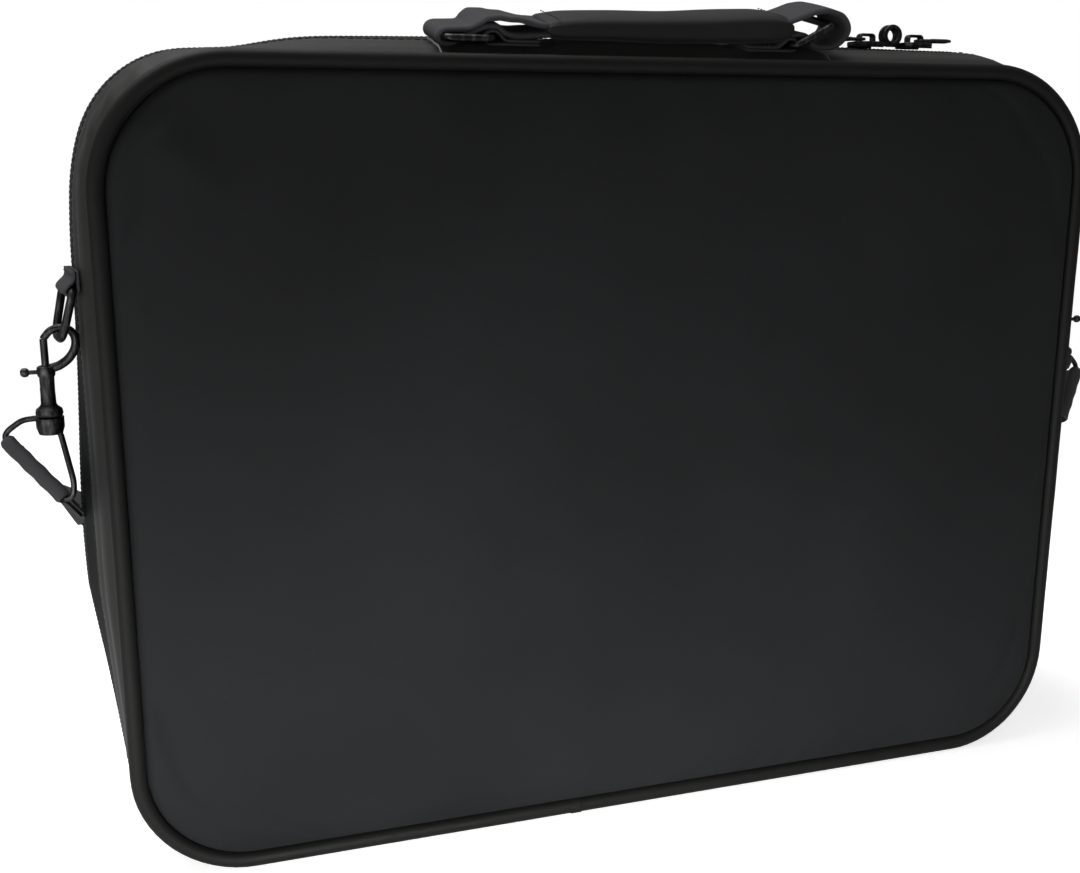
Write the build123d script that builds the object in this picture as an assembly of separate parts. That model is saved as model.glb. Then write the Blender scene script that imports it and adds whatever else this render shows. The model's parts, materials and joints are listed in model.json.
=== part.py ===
"""Padded laptop case: two fabric-covered halves zipped together, with a carry handle and shoulder strap.

Frame: X runs along the case's width, +Y points out of the front half, +Z is up.
The origin is on the floor, midway between the two halves and the two ends.
"""

from build123d import *
from math import atan2, cos, degrees, radians, sin
import os

os.makedirs("parts", exist_ok=True)

# ---------------------------------------------------------------- driving dimensions, mm
# The two padded halves.
seam_width = 400.0  # large panel, between the seams at its ends
seam_height = 298.0  # large panel, between its top and bottom seams
top_corner = 50.0  # seam radius at the upper corners
low_corner = 39.0  # seam radius at the lower corners
half_depth = 42.5  # from the zip line to a large panel's face
rim_radius = 4.4  # piping round each panel
rim_out = 2.3  # piping's centre beyond the seam
rim_back = 3.75  # piping's centre behind the panel's face
rim_wire_radius = 1.5  # spring-steel wire inside the piping
rim_press = 0.3  # the piping is pressed flat where the case stands on it
crown_out = 14.5  # the sides stand this far out past the seam, at the zip line
waist_out = 10.8  # and this far at the waist
crease_out = 5.0  # and this far where they start behind the piping
waist_depth = 20.0  # depth of the waist behind the panel's face
base_crease = 4.0  # the base below the seam, behind the piping
base_crown = 4.7  # the base below the seam, at the zip line
fade_height = 110.0  # below this height the ends narrow towards the base
seat_gap = 0.25  # between the piping and what it seats on
layer_gap = 0.3  # between the piping and the flat layers' edges
panel_lap = 0.8  # the skin reaches this much further under the piping

# Wall layers, from the outside in.
skin = 1.2
board = 1.5
panel_foam = 5.0
side_foam = 4.5
lining = 0.8

# Zip round the three open sides.
tape_width = 6.6
coil_width = 2.4
coil_proud = 0.6
coil_depth = 2.0
coil_gap = 0.2  # half the gap between the two rows of teeth
foam_gap = 3.5  # side foam stops this far short of the zip line
hinge_half = 160.0  # half the length of the fabric hinge at the base
hinge_drop = 0.1  # hinge line below the zip teeth at the base
hinge_gap = 0.15

# Inside.
laptop_width = 362.0
laptop_height = 262.0
pad_depth = 21.0  # corner pads
pad_reach = 46.0  # along each side
pad_gap = 1.0  # between the pads and the side lining
strip_width = 25.0  # retaining straps
strip_thick = 1.6
strip_rise = 48.0  # straps above and below the middle of the panel
strip_length = 330.0
closer_length = 66.0  # each strap's closing pad
closer_width = 20.0
sheet_width = 340.0  # organiser sheet in the front half
sheet_height = 230.0
sheet_thick = 1.2
sleeve_thick = 2.0  # its pockets
sleeve_gap = 12.0
low_sleeve = 103.5  # height of the wide pocket
high_sleeve = 64.4  # and of the two above it
pen_radius = 6.0
pen_wall = 1.0
pen_height = 32.0
pen_gap = 3.0

# Slip pocket on the front panel.
pocket_width = 330.0
pocket_top = 235.0
pocket_base = 24.0
pocket_depth = 8.6
pocket_wall = 1.6
pocket_corner = 22.0
hem_height = 16.0
hem_thick = 0.8

# Carry handle, in its own leaning frame.
handle_offset = 2.0  # middle of the two tabs from the middle of the case
handle_back = 22.0  # handle's middle plane in front of the zip line
handle_lean = 12.0  # degrees, the frame leans with the slope of the top
tab_reach = 62.5  # from the handle's middle to each tab's pivot
wire = 1.5  # radius of the ring wire
web = 1.2  # thickness of the tabs' webbing
wrap_gap = 0.3  # webbing round a ring's bar
wire_bend = 2.4  # a ring's corners
link_length = 17.5  # between the two bars of a link ring
link_raised = 28.0  # degrees, the right link's angle
loop_width = 24.0
loop_clear = 0.3  # ring's sides beside the webbing
tab_length = 19.0
patch_reach = 81.0
patch_thick = 0.6
patch_lead = 0.5  # from the piping's crease to the patch
grip_start = 39.0  # from the left ring's bar to the grip
grip_length = 103.0
grip_level = 3.6  # grip's left end above the pivots
grip_thick = 9.6
grip_width = 28.0
grip_slope = 2.5  # degrees
grip_wall = 2.2
grip_round = 4.0
loop_web = 1.5  # the loops' webbing
loop_spread = 4.0  # between a loop's two runs where they meet the grip
left_loop_top = 8.4  # highest run of the left loop above the pivots
left_loop_hump = 24.0  # that run from the left ring's bar
right_loop_top = 13.9
right_loop_reach = 6.2  # loop's end past the right ring's bar

# Zip sliders.
slider_length = 14.0
slider_width = 11.6
slider_plate = 1.8
slider_lift = 0.3
slider_flange = 1.0
eye_x = 130.5  # where the two sliders' padlock eyes meet
eye_radius = 4.6
eye_hole = 2.6
eye_thick = 1.8
eye_side = 1.7  # each padlock eye's middle beside the zip line
eye_reach = 5.1  # from a slider's plate to the middle of its padlock eye
bridge_height = 3.6
bridge_width = 4.0
bridge_length = 7.7
bridge_bar = 1.1
pull_length = 17.0
pull_width = 7.0
pull_thick = 1.2
pull_gap = 0.4
pull_bar = 1.1  # the pull's bar inside the bridge
pull_hole = 3.4  # from that bar to the tab's leaf
pull_corner = 1.6

# Shoulder strap fittings at each end.
ring_back = 14.0  # ring's middle in front of the zip line
ring_height = 228.0  # ring's bar above the floor
ring_half = 12.0  # half the length of the ring's bar
ring_drop = 18.5
ring_foot = 8.5
ring_tilt = 14.0  # degrees, the ring is drawn out by the hook
ring_web = 22.0
ring_tab_rise = 10.0
hook_wire = 1.45
hook_lead = 3.35  # top of the hook above the ring's wire
hook_half = 5.4
hook_heel = 11.9  # hook's lower end below the ring's foot
hook_chin = 10.8
hook_toe = 5.6  # where the hook turns up
hook_tip = 0.2
head_drop = 14.2  # barrel's head below the ring's foot
barrel_radius = 2.7
head_radius = 3.2
head_height = 3.8
barrel_length = 11.3
collar_radius = 4.9
collar_height = 3.5
bolt_radius = 1.35
bolt_fit = 0.1
bolt_travel = 5.0
bolt_tail = 3.5  # bolt below its lever
bolt_tip = 0.5  # bolt's top below the ring's foot
bolt_floor = 1.5  # barrel below the bolt's bore
lever_radius = 0.8
lever_rise = 1.7  # lever above the head's base
lever_reach = 7.3
knob_radius = 1.7
knob_length = 3.2
cap_radius = 5.0
cap_foot = 4.2
cap_height = 6.2
cap_gap = 0.4
stud_radius = 1.9
stud_length = 3.1
strap_wire = 1.1
strap_width = 38.0
strap_web = 1.6
tail_length = 20.0
wrap_web = 1.5
bar_out = 6.6  # middle of the wire loop's bar beyond the swivel's eye
bar_drop = 16.0  # and below it
strap_gap = 0.3  # between the strap and its sewn ends
strap_lead = 3.0  # straight stretch past a sewn end
apex_reach = 6.8  # wire loop's top past the swivel's eye
leg_bow = 0.56  # share of the way to the top where the long leg bends

# ---------------------------------------------------------------- derived levels
seam_base = rim_out + rim_radius - rim_press
seam_top = seam_base + seam_height
seam_mid = seam_base + seam_height / 2
wall = skin + side_foam + lining
rim_inner = rim_radius - rim_out
panel_stack = skin + board + panel_foam + lining
crease_depth = max(rim_back + rim_radius + seat_gap, panel_stack)
tape_start = half_depth - coil_gap - coil_width - tape_width
coil_start = half_depth - coil_gap - coil_width
base_level = seam_base - base_crown
hinge_level = base_level - coil_proud - hinge_drop


def save(name, shape):
    """Writes one named sub-part."""
    solids = shape.solids() if hasattr(shape, "solids") else [s for x in shape for s in x.solids()]
    print(name, len(solids), round(sum(s.volume for s in solids) / 1000.0, 2), "cm3")
    export_step(solids[0] if len(solids) == 1 else Compound(children=list(solids)), f"parts/{name}.step")


def across(y):
    """Drawing plane square to Y, with its own Y along the row's Z."""
    return Plane(origin=(0, y, 0), x_dir=(1, 0, 0), z_dir=(0, -1, 0))


def ramp(depth, crease, waist, crown):
    """Value at a depth behind the panel's face, between those at the crease, waist and zip line."""
    if depth <= waist_depth:
        return crease + (waist - crease) * (depth - crease_depth) / (waist_depth - crease_depth)
    return waist + (crown - waist) * (depth - waist_depth) / (half_depth - waist_depth)


def side_out(depth):
    """How far the sides stand out past the seam."""
    return ramp(depth, crease_out, waist_out, crown_out)


def base_out(depth):
    """How far the base stands below the seam."""
    return ramp(depth, base_crease, (base_crease + base_crown) / 2, base_crown)


def outline(side, low, y):
    """Closed outline square to Y: its top and ends lie `side` past the seam, its base `low` below it."""
    half, top, base = seam_width / 2, seam_top + side, seam_base - low
    points = [
        (-half - side, fade_height),
        (-half - side, top),
        (half + side, top),
        (half + side, fade_height),
        (half + low, base),
        (-half - low, base),
    ]
    upper, lower = top_corner + side, low_corner + low
    wire_loop = FilletPolyline(*points, radius=[0, upper, upper, 0, lower, lower], close=True)
    return across(y) * make_face(wire_loop)


def place(half, depth):
    """Y of a depth behind a half's panel face. half is -1 for the back half and 1 for the front."""
    return half * (half_depth - depth)


def plate(half, start, end, inset):
    """Flat plate in a panel's outline, `inset` inside the seam, between two depths."""
    high = max(place(half, start), place(half, end))
    return extrude(outline(-inset, -inset, high), amount=end - start)


def tunnel(half, depths, inward):
    """Solid inside the sides' surface, `inward` of it, through the depths listed."""
    sections = [outline(side_out(d) - inward, base_out(d) - inward, place(half, d)) for d in depths]
    return loft(sections, ruled=True)


def side_layer(half, depths, start, end):
    """One layer of the sides, from `start` to `end` inside their surface."""
    return tunnel(half, depths, start) - tunnel(half, depths, end)


def rim_ring(half, radius):
    """Round bar that follows a panel's seam."""
    path = outline(rim_out, rim_out, place(half, rim_back)).faces()[0].outer_wire()
    return sweep(Plane(origin=path @ 0, z_dir=path % 0) * Circle(radius), path=path)


def hinge_space(half):
    """Box that covers the fabric hinge at the base, on one half."""
    deep = half_depth
    return Pos(0, half * deep / 2, base_level) * Box(2 * hinge_half, deep, 6 * skin)


def case_half(name, half):
    """The layers, piping and zip tape of one half."""
    slack = rim_inner + layer_gap
    save(f"{name}_panel", plate(half, 0, skin, slack - panel_lap))
    save(f"{name}_board", plate(half, skin, skin + board, slack))
    save(f"{name}_foam", plate(half, skin + board, panel_stack - lining, slack))
    save(f"{name}_lining", plate(half, panel_stack - lining, crease_depth, slack))
    floor = Box(seam_width, 2 * half_depth, rim_radius, align=(Align.CENTER, Align.CENTER, Align.MAX))
    piping = rim_ring(half, rim_radius) - rim_ring(half, rim_wire_radius)
    save(f"{name}_rim", piping - Pos(0, half * half_depth, 0) * floor)
    save(f"{name}_rim_wire", rim_ring(half, rim_wire_radius))
    inner_end = half_depth - foam_gap
    save(f"{name}_gusset", side_layer(half, [crease_depth, waist_depth, tape_start], 0, skin))
    depths = [crease_depth, waist_depth, inner_end]
    save(f"{name}_gusset_foam", side_layer(half, depths, skin, skin + side_foam))
    save(f"{name}_gusset_lining", side_layer(half, depths, skin + side_foam, wall))
    tape = side_layer(half, [tape_start, coil_start], 0, skin)
    save(f"{name}_zip_tape", tape - hinge_space(half))
    coil = side_layer(half, [coil_start, half_depth - coil_gap], -coil_proud, coil_depth)
    save(f"{name}_zip_coil", coil - hinge_space(half))
    strip_depth = half_depth - tape_start - hinge_gap
    strip = Box(2 * hinge_half, strip_depth, skin, align=(Align.CENTER, Align.CENTER, Align.MIN))
    save(f"{name}_hinge_strip", Pos(0, half * (hinge_gap + strip_depth / 2), base_level) * strip)


# ---------------------------------------------------------------- inside the case
def laptop_pads():
    """Foam corner pads that hold the laptop in the back half."""
    block = plate(-1, crease_depth, crease_depth + pad_depth, wall - crease_out + pad_gap)
    y = place(-1, crease_depth + pad_depth / 2)
    middle = Pos(0, y, seam_mid) * Box(laptop_width, 2 * pad_depth, laptop_height)
    reach_x = seam_width / 2 - laptop_width / 2 + pad_reach
    reach_z = seam_height / 2 - laptop_height / 2 + pad_reach
    corners = Part()
    for x in (-1, 1):
        for z in (-1, 1):
            box = Box(reach_x, 2 * pad_depth, reach_z)
            place_x = x * (seam_width - reach_x) / 2
            corners += Pos(place_x, y, seam_mid + z * (seam_height - reach_z) / 2) * box
    return (block - middle) & corners


def laptop_straps():
    """Two retaining straps that lie flat on the back lining, with their closing pads."""
    straps = Part()
    y = place(-1, crease_depth + strip_thick / 2)
    for z in (-strip_rise, strip_rise):
        straps += Pos(0, y, seam_mid + z) * Box(strip_length, strip_thick, strip_width)
        closer = Box(closer_length, strip_thick, closer_width)
        straps += Pos(closer_length, y + strip_thick, seam_mid + z) * closer
    return straps


def organiser():
    """Sheet with two tall pockets and one wide one, sewn into the front half."""
    y = place(1, crease_depth + sheet_thick / 2)
    sheet = Pos(0, y, seam_mid) * Box(sheet_width, sheet_thick, sheet_height)
    inner = y - sheet_thick / 2 - sleeve_thick / 2
    wide = sheet_width - 2 * sleeve_gap
    base = seam_mid - sheet_height / 2 + sleeve_gap
    sheet += Pos(0, inner, base + low_sleeve / 2) * Box(wide, sleeve_thick, low_sleeve)
    half_wide = (wide - sleeve_gap) / 2
    upper = base + low_sleeve + sleeve_gap
    for side in (-1, 1):
        x = side * (half_wide + sleeve_gap) / 2
        sheet += Pos(x, inner, upper + high_sleeve / 2) * Box(half_wide, sleeve_thick, high_sleeve)
    return sheet


def pen_loops():
    """Row of fabric loops for pens, above the organiser's pockets."""
    loops = Part()
    y = place(1, crease_depth + sheet_thick) - pen_radius
    z = seam_mid + (sheet_height - pen_height) / 2 - pen_gap
    for k in (-1, 0, 1):
        tube = Cylinder(pen_radius, pen_height) - Cylinder(pen_radius - pen_wall, pen_height)
        x = sheet_width / 4 + k * (2 * pen_radius + pen_gap)
        loops += Pos(x, y, z) * tube
    return loops


def pocket_block(inset, depth, top, y):
    """Upright slab behind the front panel, open upwards."""
    half = pocket_width / 2 - inset
    base = pocket_base + inset
    round_corner = pocket_corner - inset
    points = [(-half, top), (half, top), (half, base), (-half, base)]
    loop = FilletPolyline(*points, radius=[0, 0, round_corner, round_corner], close=True)
    return extrude(across(y + depth) * make_face(loop), amount=depth)


def front_pocket():
    """Slip pocket for papers on the outside of the front half."""
    hollow = pocket_depth - pocket_wall
    block = pocket_block(0, pocket_depth, pocket_top, half_depth)
    return block - pocket_block(pocket_wall, hollow, pocket_top + pocket_wall, half_depth)


def pocket_hem():
    """Binding along the pocket's open edge."""
    y = half_depth + pocket_depth + hem_thick / 2
    return Pos(0, y, pocket_top - hem_height / 2) * Box(pocket_width, hem_thick, hem_height)


# ---------------------------------------------------------------- carry handle
pivot_height = patch_thick + wire + wrap_gap + max(web, loop_web) + seat_gap
handle_level = seam_top + side_out(half_depth - handle_back) + pivot_height
lean_cos, lean_sin = cos(radians(handle_lean)), sin(radians(handle_lean))
handle_plane = Plane(
    origin=(handle_offset, -handle_back, handle_level),
    x_dir=(1, 0, 0),
    z_dir=(0, -lean_cos, -lean_sin),
)
ring_side = loop_width / 2 + loop_clear + wire
left_bar = (-tab_reach - link_length, 0.0)
right_bar = (
    tab_reach + link_length * cos(radians(link_raised)),
    link_length * sin(radians(link_raised)),
)


def leaning(face, width):
    """Face drawn in the handle's frame, given a width that is centred on the handle."""
    return extrude(handle_plane * face, amount=width / 2, both=True)


def link_ring(x, angle):
    """Flat wire ring from a tab's pivot, lying at an angle above +X in the handle's frame."""
    turned = Plane(
        origin=(handle_plane * Pos(x, 0, 0)).position,
        x_dir=handle_plane.x_dir * cos(radians(angle)) + handle_plane.y_dir * sin(radians(angle)),
        z_dir=handle_plane.z_dir,
    )
    flat = Plane(origin=turned.origin, x_dir=turned.x_dir, z_dir=turned.y_dir)
    points = [(0, -ring_side), (link_length, -ring_side), (link_length, ring_side), (0, ring_side)]
    path = flat * FilletPolyline(*points, radius=wire_bend, close=True)
    path = path.wires()[0]
    return sweep(Plane(origin=path @ 0, z_dir=path % 0) * Circle(wire), path=path)


def handle_tab(side):
    """Webbing folded round a link ring's inner bar, with its tail sewn to the top."""
    fold = Pos(side * tab_reach, 0) * Circle(fold_out)
    centre = side * (tab_reach - tab_length / 2)
    tail = Pos(centre, web - fold_out) * Rectangle(tab_length, 2 * web)
    hole = Pos(side * tab_reach, 0) * Circle(wire + wrap_gap)
    return leaning(fold + tail - hole, loop_width)


def handle_patch():
    """Reinforcing fabric between the tabs and the top of the case."""
    depths = [crease_depth + patch_lead, waist_depth, tape_start]
    layer = side_layer(-1, depths, -patch_thick, 0)
    return layer & (Pos(handle_offset, 0, seam_top + crown_out) * Box(2 * patch_reach, 2 * half_depth, 2 * crown_out))


def webbing_band(points, radii):
    """Closed band of webbing along a filleted outline in the handle's frame."""
    path = (handle_plane * FilletPolyline(*points, radius=radii, close=True)).wires()[0]
    section = Plane(origin=path @ 0, x_dir=handle_plane.z_dir, z_dir=path % 0)
    return sweep(section * Rectangle(loop_width, loop_web), path=path)


fold_out = wire + wrap_gap + web  # radius of a tab's fold
wrap_mid = wire + wrap_gap + loop_web / 2  # a loop's middle line round a ring's bar
loop_floor = fold_out + loop_web / 2 + loop_clear
grip_left = left_bar[0] + grip_start
grip_right = grip_left + grip_length * cos(radians(grip_slope))
grip_right_level = grip_level + grip_length * sin(radians(grip_slope))
grip_gap = loop_web / 2 + seat_gap  # from the grip's end to a loop's middle line


def handle_loop_left():
    """Long teardrop of webbing, drawn down to the left link."""
    x, end, low = left_bar[0], grip_left - grip_gap, grip_level - loop_spread / 2
    points = [
        (end, low),
        (-tab_reach + fold_out, loop_floor),
        (-tab_reach - wire, loop_floor),
        (x + wrap_mid, -wrap_mid),
        (x - wrap_mid, -wrap_mid),
        (x - wrap_mid, wrap_mid),
        (x + 3 * wrap_mid, wrap_mid + loop_web),
        (x + left_loop_hump - 4 * loop_web, left_loop_top - loop_web),
        (x + left_loop_hump, left_loop_top),
        (end, low + loop_spread),
    ]
    return webbing_band(points, [1.2, 5, 4, 2.5, 2.4, 2.4, 4, 4, 5, 1.2])


def handle_loop_right():
    """Shorter, rounder loop of webbing that the right link lies in."""
    x, end = right_bar[0], grip_right + grip_gap
    reach = x + right_loop_reach
    points = [
        (end, grip_right_level - loop_spread / 2),
        (tab_reach + fold_out + loop_clear, loop_floor),
        (reach - loop_spread, loop_floor + loop_web / 2),
        (reach, right_bar[1] - wire),
        (reach - loop_web, right_loop_top - loop_web),
        (end + 1.5 * loop_spread, right_loop_top),
        (end, grip_right_level + loop_spread),
    ]
    return webbing_band(points, [1.2, 5, 4, 3, 3, 4, 1.2])


def grip_slab(thick, width, shrink):
    """Rounded bar along the handle, `shrink` in from each end of the grip."""
    mid_x = (grip_left + grip_right) / 2
    mid_z = (grip_level + grip_right_level) / 2
    block = Box(grip_length - 2 * shrink, thick, width)
    block = fillet(block.edges().filter_by(Axis.X), min(grip_round, 0.42 * thick))
    return handle_plane * Pos(mid_x, mid_z, 0) * Rot(0, 0, grip_slope) * block


def handle_sleeve():
    """Padded fabric sleeve of the grip."""
    inner = grip_slab(grip_thick - 2 * grip_wall, grip_width - 2 * grip_wall, 2 * grip_wall)
    return grip_slab(grip_thick, grip_width, 0) - inner


def handle_core():
    """Stiff core inside the sleeve."""
    return grip_slab(grip_thick - 2 * grip_wall, grip_width - 2 * grip_wall, 2 * grip_wall)


# ---------------------------------------------------------------- zip sliders
crown_level = seam_top + crown_out
coil_level = crown_level + coil_proud
slider_level = coil_level + slider_lift
slider_left_x = eye_x - eye_reach - slider_length / 2
slider_right_x = eye_x + eye_reach + slider_length / 2


def slider(x, side, eye_y):
    """Zip slider: plate, flanges, bridge for the pull, and a padlock eye at its nose."""
    body = Pos(x, 0, slider_level + slider_plate / 2) * Box(slider_length, slider_width, slider_plate)
    for y in (-1, 1):
        flange = Box(slider_length, slider_flange, coil_proud)
        flange_y = y * (slider_width - slider_flange) / 2
        body += Pos(x, flange_y, slider_level - coil_proud / 2) * flange
    top = slider_level + slider_plate
    opening = bridge_height - bridge_bar
    body += Pos(x, 0, top + bridge_height / 2) * Box(bridge_length, bridge_width, bridge_height)
    body -= Pos(x, 0, top + opening / 2) * Box(bridge_length - 2 * bridge_bar, bridge_width, opening)
    middle = (x + side * (slider_length / 2 + eye_reach), eye_y + eye_thick / 2, slider_level + eye_radius)
    upright = Plane(origin=middle, x_dir=(1, 0, 0), z_dir=(0, -1, 0))
    neck_length = eye_reach + slider_plate
    neck = Pos(-side * neck_length / 2, slider_plate / 2 - eye_radius) * Rectangle(neck_length, slider_plate)
    return body + extrude(upright * (Circle(eye_radius) + neck - Circle(eye_hole)), amount=eye_thick)


pull_inset = bridge_length / 2 - bridge_bar - pull_gap - pull_bar  # from a slider's middle to its pull


def pull(x, side):
    """Pull tab hung on a slider's bridge, lying along the zip."""
    z = slider_level + slider_plate + pull_gap
    flat = Plane(origin=(x + side * pull_inset, 0, z), x_dir=(1, 0, 0), z_dir=(0, 0, 1))
    tab = Pos(side * pull_length / 2, 0) * RectangleRounded(pull_length, pull_width, pull_corner)
    hole = Rectangle(pull_hole, bridge_width + 2 * pull_gap)
    return extrude(flat * (tab - Pos(side * (pull_bar + pull_hole / 2), 0) * hole), amount=pull_thick)


# ---------------------------------------------------------------- shoulder strap fittings, left end
ring_depth = half_depth - ring_back
ring_yaw = degrees(atan2(crown_out - waist_out, half_depth - waist_depth))
yaw_cos, yaw_sin = cos(radians(ring_yaw)), sin(radians(ring_yaw))
ring_out = side_out(ring_depth) + (fold_out + seat_gap) / yaw_cos
ring_origin = Vector(-seam_width / 2 - ring_out, -ring_back, ring_height)
# x outwards from the case, y up, drawn square to the ring's bar.
ring_plane = Plane(origin=ring_origin, x_dir=(-yaw_cos, -yaw_sin, 0), z_dir=(-yaw_sin, yaw_cos, 0))
drop_x, drop_z = ring_drop * sin(radians(ring_tilt)), ring_drop * cos(radians(ring_tilt))
ring_foot_point = ring_origin + Vector(-yaw_cos, -yaw_sin, 0) * drop_x - Vector(0, 0, 1) * drop_z
hook_axis = Vector(ring_foot_point.X - hook_half, -ring_back, 0)
hook_top = ring_foot_point.Z + hook_lead
head_base = ring_foot_point.Z - head_drop
collar_top = head_base - barrel_length
collar_base = collar_top - collar_height
cap_top = collar_base - cap_gap
cap_base = cap_top - cap_height
eye_level = cap_top - cap_height * 0.55
eye_point = Vector(hook_axis.X, -ring_back, eye_level)
strap_eye = strap_wire + wrap_gap


def strap_ring():
    """D-ring: a bar in the tab and a rounded foot that the hook hangs from."""
    tilted = Plane(
        origin=ring_origin,
        x_dir=ring_plane.z_dir,
        z_dir=ring_plane.z_dir.cross(
            ring_plane.x_dir * sin(radians(ring_tilt)) - Vector(0, 0, 1) * cos(radians(ring_tilt))
        ),
    )
    points = [(-ring_half, 0), (ring_half, 0), (ring_foot, ring_drop), (-ring_foot, ring_drop)]
    path = (tilted * FilletPolyline(*points, radius=[3.2, 3.2, 7.0, 7.0], close=True)).wires()[0]
    return sweep(Plane(origin=path @ 0, z_dir=path % 0) * Circle(wire), path=path)


def ring_tab():
    """Webbing folded round the D-ring's bar, with its tail sewn to the end of the case."""
    tail = Pos(web - fold_out, ring_tab_rise / 2) * Rectangle(2 * web, ring_tab_rise)
    face = ring_plane * (Circle(fold_out) + tail - Circle(wire + wrap_gap))
    return extrude(face, amount=ring_web / 2, both=True)


def hook_body():
    """Hook, head, barrel and collar in one casting."""
    x, y = hook_axis.X, hook_axis.Y
    foot = ring_foot_point.Z
    upright = Plane(origin=(ring_foot_point.X, y, foot), x_dir=(1, 0, 0), z_dir=(0, -1, 0))
    half = hook_half
    points = [
        (-half, -hook_heel),
        (half / 4, -hook_chin),
        (half, -hook_toe),
        (half, hook_lead),
        (-half, hook_lead),
        (-half, -hook_tip),
    ]
    path = (upright * FilletPolyline(*points, radius=[3.2, 4.0, 4.6, 3.4])).wires()[0]
    bend = sweep(Plane(origin=path @ 0, z_dir=path % 0) * Circle(hook_wire), path=path)
    stack = Align.CENTER, Align.CENTER, Align.MIN
    body = Pos(x, y, head_base) * Cylinder(head_radius, head_height, align=stack)
    body += Pos(x, y, collar_top) * Cylinder(barrel_radius, barrel_length, align=stack)
    body += Pos(x, y, collar_base) * Cylinder(collar_radius, collar_height, align=stack)
    body += bend
    bore_base = collar_top + bolt_floor
    bore = Cylinder(bolt_radius + bolt_fit, head_base + 2 * head_height - bore_base, align=stack)
    body -= Pos(x, y, bore_base) * bore
    slot_height = bolt_travel + 2 * lever_radius + 2 * bolt_fit
    slot = Box(2 * collar_radius, 2 * (lever_radius + bolt_fit), slot_height)
    slot_mid = lever_level() - bolt_travel / 2
    body -= Pos(x - collar_radius, y, slot_mid) * slot
    pocket = Cylinder(stud_radius + bolt_fit, stud_length, align=stack)
    return body - Pos(x, y, collar_base) * pocket


def lever_level():
    """Height of the thumb lever at rest."""
    return head_base + lever_rise


def hook_bolt():
    """Sliding bolt that closes the hook, with its thumb lever and knob."""
    x, y = hook_axis.X, hook_axis.Y
    top = ring_foot_point.Z - bolt_tip
    base = lever_level() - bolt_tail
    stack = Align.CENTER, Align.CENTER, Align.MIN
    body = Pos(x, y, base) * Cylinder(bolt_radius, top - base, align=stack)
    arm_length = lever_reach - bolt_radius / 2
    arm = Rot(0, 90, 0) * Cylinder(lever_radius, arm_length)
    body += Pos(x - lever_reach + arm_length / 2, y, lever_level()) * arm
    knob = Cylinder(knob_radius, knob_length)
    knob = fillet(knob.edges(), 0.45 * min(knob_length, 2 * knob_radius))
    return body + Pos(x - lever_reach, y, lever_level()) * Rot(0, 90, 0) * knob


# The strap's wire loop: b runs along its bar, t is how the webbing leaves it, h points to the cap.
bar_dir = Vector(0.613, -0.484, -0.624).normalized()
bar_mid = eye_point + Vector(-bar_out, 0.0, -bar_drop)
to_eye = eye_point - bar_mid
eye_along = to_eye.dot(bar_dir)
rise_dir = (to_eye - bar_dir * eye_along).normalized()
eye_rise = to_eye.dot(rise_dir)
loop_half = strap_width / 2 + strap_wire + wrap_gap
leg_foot = strap_eye + wrap_web + wrap_gap  # the legs stand square to the bar up to here
leg_slope = (eye_rise - leg_foot) / (eye_along + loop_half)
apex_along = eye_along + apex_reach
apex_rise = leg_foot + leg_slope * (apex_along + loop_half)
leg_dir = (bar_dir * (eye_along + loop_half) + rise_dir * (eye_rise - leg_foot)).normalized()
sight = Vector(-0.06, 0.97, -0.23)
tail_dir = (sight - bar_dir * sight.dot(bar_dir)).normalized()


def swivel_cap():
    """Swivel cap with a stud up into the collar and a cross hole for the wire loop."""
    x, y = hook_axis.X, hook_axis.Y
    stack = Align.CENTER, Align.CENTER, Align.MIN
    body = Pos(x, y, cap_base) * Cylinder(cap_radius, cap_height, align=stack)
    body = chamfer(body.edges().sort_by(Axis.Z)[0], cap_height * 0.4, cap_radius - cap_foot)
    body += Pos(x, y, cap_top) * Cylinder(stud_radius, stud_length, align=stack)
    cross = Plane(origin=eye_point, z_dir=leg_dir) * Cylinder(strap_eye, 4 * cap_radius)
    return body - cross


def strap_loop():
    """Closed wire loop that ties the strap to the swivel cap."""
    flat = Plane(origin=bar_mid, x_dir=bar_dir, z_dir=bar_dir.cross(rise_dir))
    points = [
        (-loop_half, 0),
        (loop_half, 0),
        (loop_half, leg_foot),
        (loop_half * leg_bow, apex_rise * leg_bow),
        (apex_along, apex_rise),
        (-loop_half, leg_foot),
    ]
    bends = [1.8, 1.8, 2.4, 12.0, 4.0, 2.0]
    path = (flat * FilletPolyline(*points, radius=bends, close=True)).wires()[0]
    return sweep(Plane(origin=path @ 0, z_dir=path % 0) * Circle(strap_wire), path=path)


def strap_end():
    """Doubled end of the strap, sewn round the wire loop's bar."""
    outer = strap_wire + wrap_gap + wrap_web
    across_bar = Plane(origin=bar_mid, x_dir=tail_dir, z_dir=bar_dir)
    tail_start = strap_eye + wrap_web / 2
    reach = tail_length - tail_start
    tail = Pos(tail_start + reach / 2, 0) * Rectangle(reach, 2 * strap_web)
    face = Circle(outer) + tail - Circle(strap_eye)
    return extrude(across_bar * face, amount=strap_width / 2, both=True)


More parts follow.
